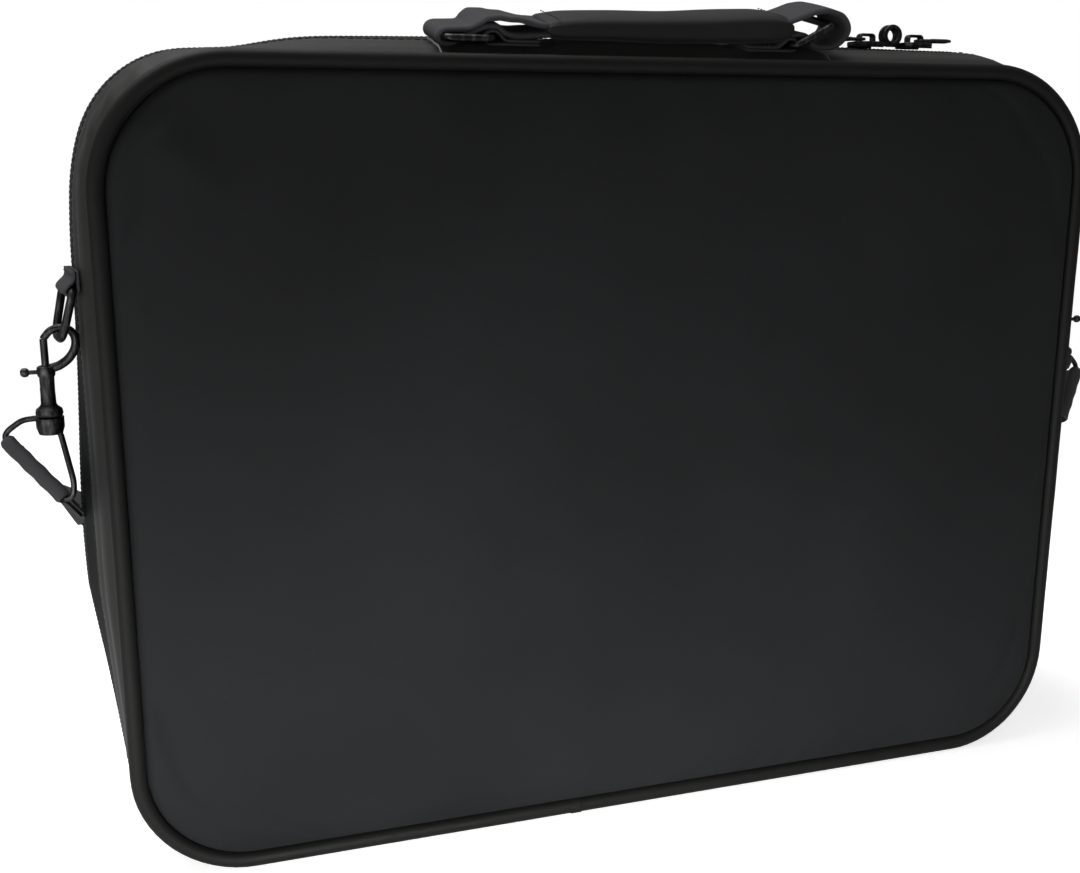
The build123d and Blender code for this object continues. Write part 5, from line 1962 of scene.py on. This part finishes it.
                flat = middle + up * sign * (self.half_thick(share) * mouth + 0.2)
                seams.append((self.plane.place(np.repeat(flat[None], 20, 0)) + self.plane.face * u[:, None],
                              False))
        seat(dress(stitches("grip_stitches", seams, 1.9, 0.45, 2.5), THREAD), Body.HANDLE)

    def build(self) -> None:
        """Builds the handle and what holds it."""
        self.patch()
        self.tabs()
        self.loops()
        self.sleeve()
        for side in Side:
            dress_node(f"link_{side.word}", GUNMETAL)


# ---------------------------------------------------------------- zip sliders
def circle(x: float, y: float, radius: float, count: int = 32) -> Array:
    """Points round a circle."""
    a = 2 * math.pi * np.arange(count) / count
    return np.stack([x + radius * np.cos(a), y + radius * np.sin(a)], 1)


@dataclass(frozen=True)
class ZipSlider:
    """Zip slider with its bridge, padlock eye and pull."""

    side: Side
    middle: float
    eye_y: float
    level: float = 319.8
    length: float = 14.0
    width: float = 11.6
    plate: float = 1.8
    eye_x: float = 130.5
    eye_radius: float = 4.6
    eye_hole: float = 2.6
    bridge: Point = (7.7, 4.0, 3.6)
    pull_size: Point = (17.0, 7.0, 1.2)
    pull_inset: float = 1.25

    def body(self) -> Piece:
        """The slider's plates, bridge and eye in one casting."""
        s = -self.side.value
        half, wide = self.length / 2, self.width / 2
        nose = [(-half * s, -wide * 0.72), (-half * 0.35 * s, -wide), (half * 0.55 * s, -wide),
                (half * s, -wide * 0.62),
                (half * s, wide * 0.62), (half * 0.55 * s, wide), (-half * 0.35 * s, wide),
                (-half * s, wide * 0.72)]
        outline = filleted(nose, [1.2, 3, 2.5, 1.6, 1.6, 2.5, 3, 1.2], 0.6) + np.array([self.middle, 0])
        top = cut_plate("top", [outline], self.plate, 0.45,
                        Matrix.Translation((0, 0, self.level + self.plate / 2)))
        parts = [top]
        for y in (-1, 1):
            rail = [(self.middle - half + 1.2, y * wide - y * 0.9),
                    (self.middle + half - 1.2, y * wide - y * 0.9)]
            path = np.array([(x, yy, self.level - 0.15)
                    for x, yy in (rail[0], ((rail[0][0] + rail[1][0]) / 2, y * (wide - 0.55)), rail[1])])
            parts.append(tube("rail", through(path, 6), 0.5, sides=10))
        long, broad, high = self.bridge
        r = 0.55
        arch = filleted([(-long / 2 + r, 0.0), (-long / 2 + r, high - r), (long / 2 - r, high - r),
                         (long / 2 - r, 0.0)], [0, 1.1, 1.1, 0], 0.35, False)
        path = xyz(arch[:, 0] + self.middle, np.zeros(len(arch)), arch[:, 1] + self.level + self.plate - 0.2)
        parts.append(ribbon("bridge", path, (0, 1, 0), broad, 2 * r, across=10, crown=0.12))
        upright = Matrix(((1, 0, 0, self.eye_x), (0, 0, 1, self.eye_y),
                          (0, 1, 0, self.level + self.eye_radius), (0, 0, 0, 1)))
        r = self.eye_radius
        parts.append(cut_plate("eye", [circle(0, 0, r, 40), circle(0, 0, self.eye_hole, 28)], self.plate, 0.6,
                               upright))
        reach = abs(self.eye_x - self.middle) - half
        mid = self.eye_x - s * (reach / 2 + 0.4)
        parts.append(rounded_box("neck", (mid - reach / 2 - 1.2, self.eye_y - 0.9, self.level),
                                 (mid + reach / 2 + 0.4, self.eye_y + 0.9, self.level + 1.9), 0.3, 0.0, 1.5))
        return sharpen(joined(f"zip_slider_{self.side.word}", parts))

    def pull(self) -> Piece:
        """Long flat pull tab with a bar for the bridge and a raised middle."""
        s = self.side.value
        long, broad, thick = self.pull_size
        root = self.middle + s * self.pull_inset
        leaf = [(0, -broad * 0.36), (5.0, -broad / 2), (long - 1.5, -broad * 0.46), (long, -broad * 0.2),
                (long, broad * 0.2), (long - 1.5, broad * 0.46),
                (5.0, broad / 2), (0, broad * 0.36)]
        outline = filleted(leaf, [1.1, 2.5, 2.0, 1.2, 1.2, 2.0, 2.5, 1.1],
                           0.6) * np.array([s, 1]) + np.array([root, 0])
        hole = filleted([(1.15, -2.35), (4.5, -2.35), (4.5, 2.35), (1.15, 2.35)], [0.7] * 4,
                        0.5) * np.array([s, 1]) + np.array([root, 0])
        level = self.level + self.plate + 0.4 + thick / 2
        leaf_plate = cut_plate("leaf", [outline, hole], thick, 0.4, Matrix.Translation((0, 0, level)))
        pad = filleted([(6.4, -broad * 0.33), (long - 1.6, -broad * 0.3), (long - 1.6, broad * 0.3),
                        (6.4, broad * 0.33)], [1.0] * 4, 0.5)
        pad = pad * np.array([s, 1]) + np.array([root, 0])
        raised = cut_plate("raised", [pad], thick + 0.5, 0.3, Matrix.Translation((0, 0, level)))
        return sharpen(joined(f"zip_pull_{self.side.word}", [leaf_plate, raised]))

    def build(self) -> None:
        """Builds the slider and its pull."""
        word = self.side.word
        seat(dress(self.body(), GUNMETAL), f"slider_{word}", f"slider_{word}")
        seat(dress(self.pull(), MOULDED), f"pull_{word}", f"pull_{word}")


# ---------------------------------------------------------------- shoulder strap
def eased(node: str, radius: float, degrees: float = 32.0) -> Piece:
    """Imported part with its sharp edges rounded.

    Args:
        node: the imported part.
        radius: radius of the edges, millimetres.
        degrees: edges that turn by more than this are rounded.

    Returns:
        The new object, which stands for the part.
    """
    packed = frame["nodes"][node]
    mesh = packed.data.copy()
    mesh.transform(packed.matrix_world)
    work = make_object(f"{node}_eased", mesh)
    clean = bmesh.new()
    clean.from_mesh(mesh)
    bmesh.ops.remove_doubles(clean, verts=clean.verts, dist=2e-6)
    bmesh.ops.dissolve_limit(clean, angle_limit=math.radians(1.0), verts=clean.verts, edges=clean.edges)
    clean.to_mesh(mesh)
    clean.free()
    rule = work.modifiers.new("edges", "BEVEL")
    rule.width, rule.segments = radius * MM, 2
    rule.limit_method, rule.angle_limit = "ANGLE", math.radians(degrees)
    bpy.context.view_layer.update()
    made = bpy.data.meshes.new_from_object(work.evaluated_get(bpy.context.evaluated_depsgraph_get()))
    bpy.data.objects.remove(work)
    made.shade_smooth()
    piece = make_object(f"{node}_eased", made)
    return sharpen(piece, 40.0)


@dataclass(frozen=True)
class StrapFittings:
    """D-ring, swivel hook and wire loop at one end of the case."""

    side: Side
    ring: Frame = Frame((-215.491, -14.0, 228.0), (-0.9867, -0.1623, 0), (0, 0, 1))
    fold: float = 2.4
    web: float = 22.0
    strap_width: float = 38.0
    bar: Point = (-231.908, -14.0, 161.24)
    bar_way: Point = (0.613, -0.484, -0.624)
    sight: Point = (-0.06, 0.97, -0.23)
    eye: Point = (-225.308, -14.0, 177.24)
    wire: float = 1.1
    grip_width: float = 32.0
    hook_middle: Flat = (-219.908, 210.05)
    bend: Sequence[Flat] = ((-5.6, -13.0), (-4.3, -11.6), (-0.6, -10.4), (2.9, -7.9), (5.2, -4.2),
                            (5.5, -0.4), (3.9, 2.4), (0.6, 3.4), (-2.6, 2.6), (-4.9, 0.3), (-5.4, -0.6))

    def mirrored(self, path: Array) -> Array:
        """Points of the left end, turned over for the right end."""
        return path if self.side is Side.LEFT else path * np.array([-1, 1, 1])

    def ring_tab(self) -> None:
        """Webbing tab folded round the D-ring's bar."""
        f = self.fold
        corners = [(-2.35, 6.8), (-2.35, -f), (f, -f), (f, 0.4), (-1.1, 3.4), (-1.1, 6.8)]
        flat = softened(filleted(corners, [0, 2.3, 2.3, 2.0, 2.2, 0], 0.8, False), 2, False)
        path = self.mirrored(self.ring.place(flat))
        edge = self.mirrored(self.ring.face[None])[0]
        piece = ribbon(f"ring_tab_webbing_{self.side.word}", path, edge, self.web, 1.15)
        seat(dress(piece, WEBBING), Body.BACK, f"ring_tab_{self.side.word}")
        row = np.stack([np.full(16, -0.42), np.full(16, 5.6)], 1)
        line = self.ring.place(row) + self.ring.face * np.linspace(-9.5, 9.5, 16)[:, None]
        seat(dress(stitches(f"ring_tab_stitches_{self.side.word}", [(self.mirrored(line), False)], 1.8, 0.42,
                            2.3), THREAD), Body.BACK)

    def loop_frame(self) -> tuple[Array, Array, Array]:
        """Directions along the wire loop's bar, along the strap's end and across both."""
        along = unit(np.array(self.bar_way))
        sight = np.array(self.sight)
        tail = unit(sight - along * (sight @ along))
        return along, tail, np.cross(along, tail)

    def strap_end(self) -> None:
        """Doubled webbing sewn round the wire loop's bar, bunched where the wire grips it."""
        along, tail, up = self.loop_frame()
        corners = [(20.0, 0.82), (2.6, 0.82), (0.0, 2.2), (-2.2, 2.0), (-2.2, -2.0), (0.0, -2.2),
                   (2.6, -0.82), (20.0, -0.82)]
        flat = softened(filleted(corners, [0, 1.2, 1.6, 1.9, 1.9, 1.6, 1.2, 0], 0.7, False), 2, False)
        path = np.array(self.bar) + flat[:, :1] * tail + flat[:, 1:] * up
        piece = ribbon("fold", self.mirrored(path), self.mirrored(along[None])[0], self.strap_width, 1.5)
        co = np.empty(len(piece.data.vertices) * 3)
        piece.data.vertices.foreach_get("co", co)
        place = self.mirrored(co.reshape(-1, 3) / MM) - np.array(self.bar)
        reach = place @ tail
        near = 1 - np.clip((reach + 2.0) / 16.0, 0, 1)
        squeeze = 1 - (1 - self.grip_width / self.strap_width) * near * near * (3 - 2 * near)
        ripple = 0.18 * near * np.sin((place @ along) * 0.62)
        moved = place + np.outer((place @ along) * (squeeze - 1), along) + np.outer(ripple, up)
        moved = self.mirrored(moved + np.array(self.bar)) * MM
        piece.data.vertices.foreach_set("co", moved.ravel())
        piece.name = f"strap_fold_{self.side.word}"
        seat(dress(piece, WEBBING), f"strap_loop_{self.side.word}", f"strap_end_{self.side.word}")
        box = filleted([(8.0, -15), (17.5, -15), (17.5, 15), (8.0, 15)], [0.6] * 4, 1.5)
        seams = []
        for off in (1.68, -1.68):
            for row, closed in ((box, True), (np.linspace((8.0, -15), (17.5, 15), 20), False),
                                (np.linspace((8.0, 15), (17.5, -15), 20), False)):
                line = np.array(self.bar) + row[:, :1] * tail + row[:, 1:] * along + up * off
                seams.append((self.mirrored(line), closed))
        rows = stitches(f"strap_fold_stitches_{self.side.word}", seams, 1.9, 0.42, 2.5)
        seat(dress(rows, THREAD), f"strap_loop_{self.side.word}")

    def wire_loop(self) -> None:
        """Bowed wire loop from the swivel cap to the strap."""
        along = self.loop_frame()[0]
        bar, eye = np.array(self.bar), np.array(self.eye)
        way = eye - bar
        shift = way @ along
        rise = unit(way - along * shift)
        height = way @ rise
        half = self.grip_width / 2 + self.wire + 0.3
        corners = [(-half, 0), (half, 0), (half + 0.3, 3.4), (half * 0.86, height * 0.42),
                   (shift + 4.4, height + 0.9), (shift - 4.4, height + 0.2),
                   (-half * 0.92, height * 0.62), (-half - 0.2, 3.6)]
        flat = softened(filleted(corners, [1.8, 1.8, 4.0, 14.0, 3.0, 4.0, 9.0, 4.0], 0.7), 4, True)
        path = bar + flat[:, :1] * along + flat[:, 1:] * rise
        piece = tube(f"strap_wire_{self.side.word}", self.mirrored(path), self.wire, closed=True, sides=12)
        seat(dress(piece, GUNMETAL), f"strap_loop_{self.side.word}", f"strap_loop_{self.side.word}")

    def hook(self) -> None:
        """Cast snap hook: a round bend that tapers to its tip, on a slotted barrel and collar."""
        x, y, _ = self.eye
        profile = [(0.0, 181.05), (4.3, 181.05), (4.75, 181.5), (4.9, 182.3), (4.6, 183.7), (3.3, 184.75),
                   (2.75, 185.6), (2.62, 190.0), (2.72, 195.6),
                   (3.15, 196.2), (3.25, 197.0), (3.25, 198.6), (3.0, 199.4), (2.4, 199.75), (0.0, 199.75)]
        body = lathe("barrel", [(r, z - 181.05) for r, z in profile], (x, y, 181.05), sides=32)
        slot = rounded_box("slot", (x - 8.0, y - 0.95, 191.6), (x - 0.2, y + 0.95, 198.6), 0.25, 0.0, 3.0)
        bore = lathe("bore", [(0.0, 0.0), (1.5, 0.0), (1.5, 16.0), (0.0, 16.0)], (x, y, 187.0), sides=20)
        for cutter in (slot, bore):
            rule = body.modifiers.new("cut", "BOOLEAN")
            rule.operation, rule.solver, rule.object = "DIFFERENCE", "EXACT", cutter
        bpy.context.view_layer.update()
        mesh = bpy.data.meshes.new_from_object(body.evaluated_get(bpy.context.evaluated_depsgraph_get()))
        for used in (body, slot, bore):
            bpy.data.objects.remove(used)
        barrel = sharpen(make_object("barrel_cut", mesh))
        flat = through(self.bend, 8)
        centre = self.hook_middle
        path = xyz(flat[:, 0] + centre[0], y, flat[:, 1] + centre[1])
        t = np.linspace(0, 1, len(path))
        thick = 1.75 - 0.45 * t - 0.5 * ramp(t, 0.95, 0.05) ** 2
        made = joined(f"snap_hook_{self.side.word}", [barrel, tube("bend", path, thick, sides=16)])
        if self.side is Side.RIGHT:
            made.data.transform(Matrix.Scale(-1, 4, (1, 0, 0)))
            made.data.flip_normals()
        sharpen(made)
        seat(dress(made, GUNMETAL), f"hook_{self.side.word}", f"hook_body_{self.side.word}")

    def build(self) -> None:
        """Builds the fittings of this end."""
        word = self.side.word
        self.ring_tab()
        self.strap_end()
        self.wire_loop()
        self.hook()
        cap = eased(f"swivel_cap_{word}", 0.3)
        seat(dress(cap, GUNMETAL), f"swivel_{word}", f"swivel_cap_{word}")
        for node in ("strap_ring", "hook_bolt"):
            dress_node(f"{node}_{word}", GUNMETAL)


@dataclass(frozen=True)
class ShoulderStrap:
    """Webbing that runs from end to end round the back of the case."""

    width: float = 38.0
    thick: float = 1.6
    fold_reach: float = 20.35
    lead: float = 3.0
    stations: Sequence[tuple[Point, Point]] = (
        ((-228.8, 10.5, 147.6), (0.585, -0.51, -0.63)), ((-227.5, 23.0, 141.5), (0.55, -0.66, -0.52)),
        ((-222.5, 44.0, 131.0), (0.50, -0.78, -0.40)), ((-212.0, 64.0, 121.0), (0.28, -0.95, -0.15)),
        ((-193.0, 71.8, 107.0), (0.05, -1.0, 0.0)), ((-165.0, 72.1, 88.0), (0.0, -1.0, 0.0)),
        ((-120.0, 72.1, 60.0), (0.0, -1.0, 0.0)), ((-65.0, 72.1, 37.0), (0.0, -1.0, 0.0)),
                                               ((-20.0, 72.1, 27.0), (0.0, -1.0, 0.0)))

    def build(self) -> None:
        """Builds the strap as one smooth ribbon."""
        bar_way = unit(np.array(StrapFittings.bar_way))
        sight = np.array(StrapFittings.sight)
        tail = unit(sight - bar_way * (sight @ bar_way))
        start = np.array(StrapFittings.bar) + tail * self.fold_reach
        left = [(start, bar_way), (start + tail * self.lead, bar_way)] + [(np.array(p), np.array(w))
                for p, w in self.stations]
        mirror = np.array([-1, 1, 1])
        route = left + [(p * mirror, w * mirror) for p, w in reversed(left)]
        path = through([p for p, _ in route], 9)
        edges = unit(through([w for _, w in route], 9))
        piece = ribbon("shoulder_webbing", path, edges, self.width, self.thick, across=22)
        dress(piece, WEBBING)
        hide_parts("strap_webbing")
        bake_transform(piece)
        report(piece)


# ---------------------------------------------------------------- light and camera
@dataclass(frozen=True)
class Studio:
    """Pale floor, soft lamps and the camera."""

    camera_at: Point = (-201.6, -515.9, 283.9)
    right: Point = (0.9493, -0.3146, 0.0023)
    up: Point = (0.0699, 0.2180, 0.9734)
    lens: float = 43.42
    sensor: float = 36.0
    floor_glow: float = 0.62
    world_light: float = 0.20

    def floor(self) -> None:
        """Large pale floor that fades into the background."""
        size = 1200.0
        verts = [(-size, -size, -0.05), (size, -size, -0.05), (size, size, -0.05), (-size, size, -0.05)]
        piece = build("studio_floor", np.array(verts), [(0, 1, 2, 3)], recalc=False)
        made = bpy.data.materials.new("studio_floor")
        made.use_nodes = True
        g = Graph(made.node_tree)
        shader = made.node_tree.nodes["Principled BSDF"]
        shader.inputs["Base Color"].default_value = (0.93, 0.93, 0.93, 1)
        shader.inputs["Roughness"].default_value = 0.9
        shader.inputs["Specular IOR Level"].default_value = 0.1
        place = g.node("ShaderNodeTexCoord").outputs["Object"]
        away = g.node("ShaderNodeVectorMath", operation="LENGTH")
        g.feed(away.inputs[0], place)
        g.feed(shader.inputs["Alpha"], g.spread(away.outputs["Value"], 0.35, 1.1, 1.0, 0.0))
        shader.inputs["Emission Color"].default_value = (1, 1, 1, 1)
        seen = g.node("ShaderNodeLightPath").outputs["Is Camera Ray"]
        g.feed(shader.inputs["Emission Strength"], g.math("MULTIPLY", seen, self.floor_glow))
        piece.data.materials.append(made)

    def world(self) -> None:
        """White surroundings to the camera, softer grey light on the case."""
        world = bpy.context.scene.world or bpy.data.worlds.new("studio")
        bpy.context.scene.world = world
        world.use_nodes = True
        nodes, links = world.node_tree.nodes, world.node_tree.links
        nodes.clear()
        out, mix = nodes.new("ShaderNodeOutputWorld"), nodes.new("ShaderNodeMixShader")
        light, white = nodes.new("ShaderNodeBackground"), nodes.new("ShaderNodeBackground")
        path = nodes.new("ShaderNodeLightPath")
        for node, strength in ((light, self.world_light), (white, 1.0)):
            node.inputs["Color"].default_value = (1, 1, 1, 1)
            node.inputs["Strength"].default_value = strength
        links.new(path.outputs["Is Camera Ray"], mix.inputs["Fac"])
        links.new(light.outputs[0], mix.inputs[1])
        links.new(white.outputs[0], mix.inputs[2])
        links.new(mix.outputs[0], out.inputs["Surface"])

    def lamp(self, name: str, at: Point, aim: Point, size: float, power: float,
             spread: float = 180.0) -> None:
        """Soft square lamp, placed and aimed in millimetres, with its light spread over some degrees."""
        data = bpy.data.lights.new(name, "AREA")
        data.spread = math.radians(spread)
        data.shape, data.size, data.energy = "SQUARE", size * MM, power
        lamp = make_object(name, data)
        turn = (Vector(aim) - Vector(at)).to_track_quat("-Z", "Y").to_matrix().to_4x4()
        lamp.matrix_world = Matrix.Translation(Vector(at) * MM) @ turn

    def build(self) -> None:
        """Sets up the light, floor and camera."""
        self.floor()
        self.world()
        self.lamp("key", (-1500, -1200, 120), (-60, 0, 40), 800, 8.5)
        self.lamp("top", (-350, 250, 1500), (-50, 0, 250), 1100, 17.0)
        self.lamp("low", (-280, -620, 30), (-30, -42, -170), 400, 1.7, 64.0)
        data = bpy.data.cameras.new("camera")
        data.lens, data.sensor_width = self.lens, self.sensor
        data.clip_start, data.clip_end = 0.01, 20.0
        camera = make_object("camera", data)
        right, up = Vector(self.right), Vector(self.up)
        back = right.cross(up)
        turn = Matrix((right, up, back)).transposed().to_4x4()
        camera.matrix_world = Matrix.Translation(Vector(self.camera_at) * MM) @ turn
        bpy.context.scene.camera = camera
        view = bpy.context.scene.view_settings
        view.view_transform = "Standard"


FOLDS = (
    Fold((-193.0, 290.0), (-164.0, 263.0), 9.0, 2.0),
    Fold((-180.0, 296.0), (-149.0, 281.0), 12.0, -0.9),
    Fold((-150.0, 250.0), (-60.0, 180.0), 26.0, 0.6),
    Fold((-40.0, 270.0), (90.0, 285.0), 18.0, 0.5),
    Fold((-150.0, 60.0), (40.0, 40.0), 22.0, 0.5),
    Fold((120.0, 240.0), (165.0, 120.0), 22.0, 0.6),
)
BACK_FOLDS = (
    Fold((-120.0, 262.0), (60.0, 270.0), 20.0, 0.6),
    Fold((-170.0, 120.0), (-150.0, 230.0), 16.0, 0.5),
)


def main() -> None:
    """Builds every sub-assembly in order, then the light and camera."""
    logging.basicConfig(level=logging.INFO, format="%(message)s")
    slack = {half: None for half in Half}
    x, z = FORM.panel_grid(1.1, 76, 60)
    sewn = FORM.panel_edge(x, z, 1.1) < 0.5
    slack = {half: settle(f"{half.word}_slack", x, z, sewn, 2.2 + 0.3 * half.value, 1.5) for half in Half}
    for half, folds in ((Half.BACK, FOLDS), (Half.FRONT, BACK_FOLDS)):
        PaddedHalf(half, folds).build(slack[half])
    FabricHinge().build()
    Interior().build()
    SlipPocket().build()
    CarryHandle().build()
    for side, middle, eye_y in ((Side.LEFT, 118.4, -1.7), (Side.RIGHT, 142.6, 1.7)):
        ZipSlider(side, middle, eye_y).build()
    for side in Side:
        StrapFittings(side).build()
    ShoulderStrap().build()
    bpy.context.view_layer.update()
    Studio().build()


if __name__ == "__main__":
    main()
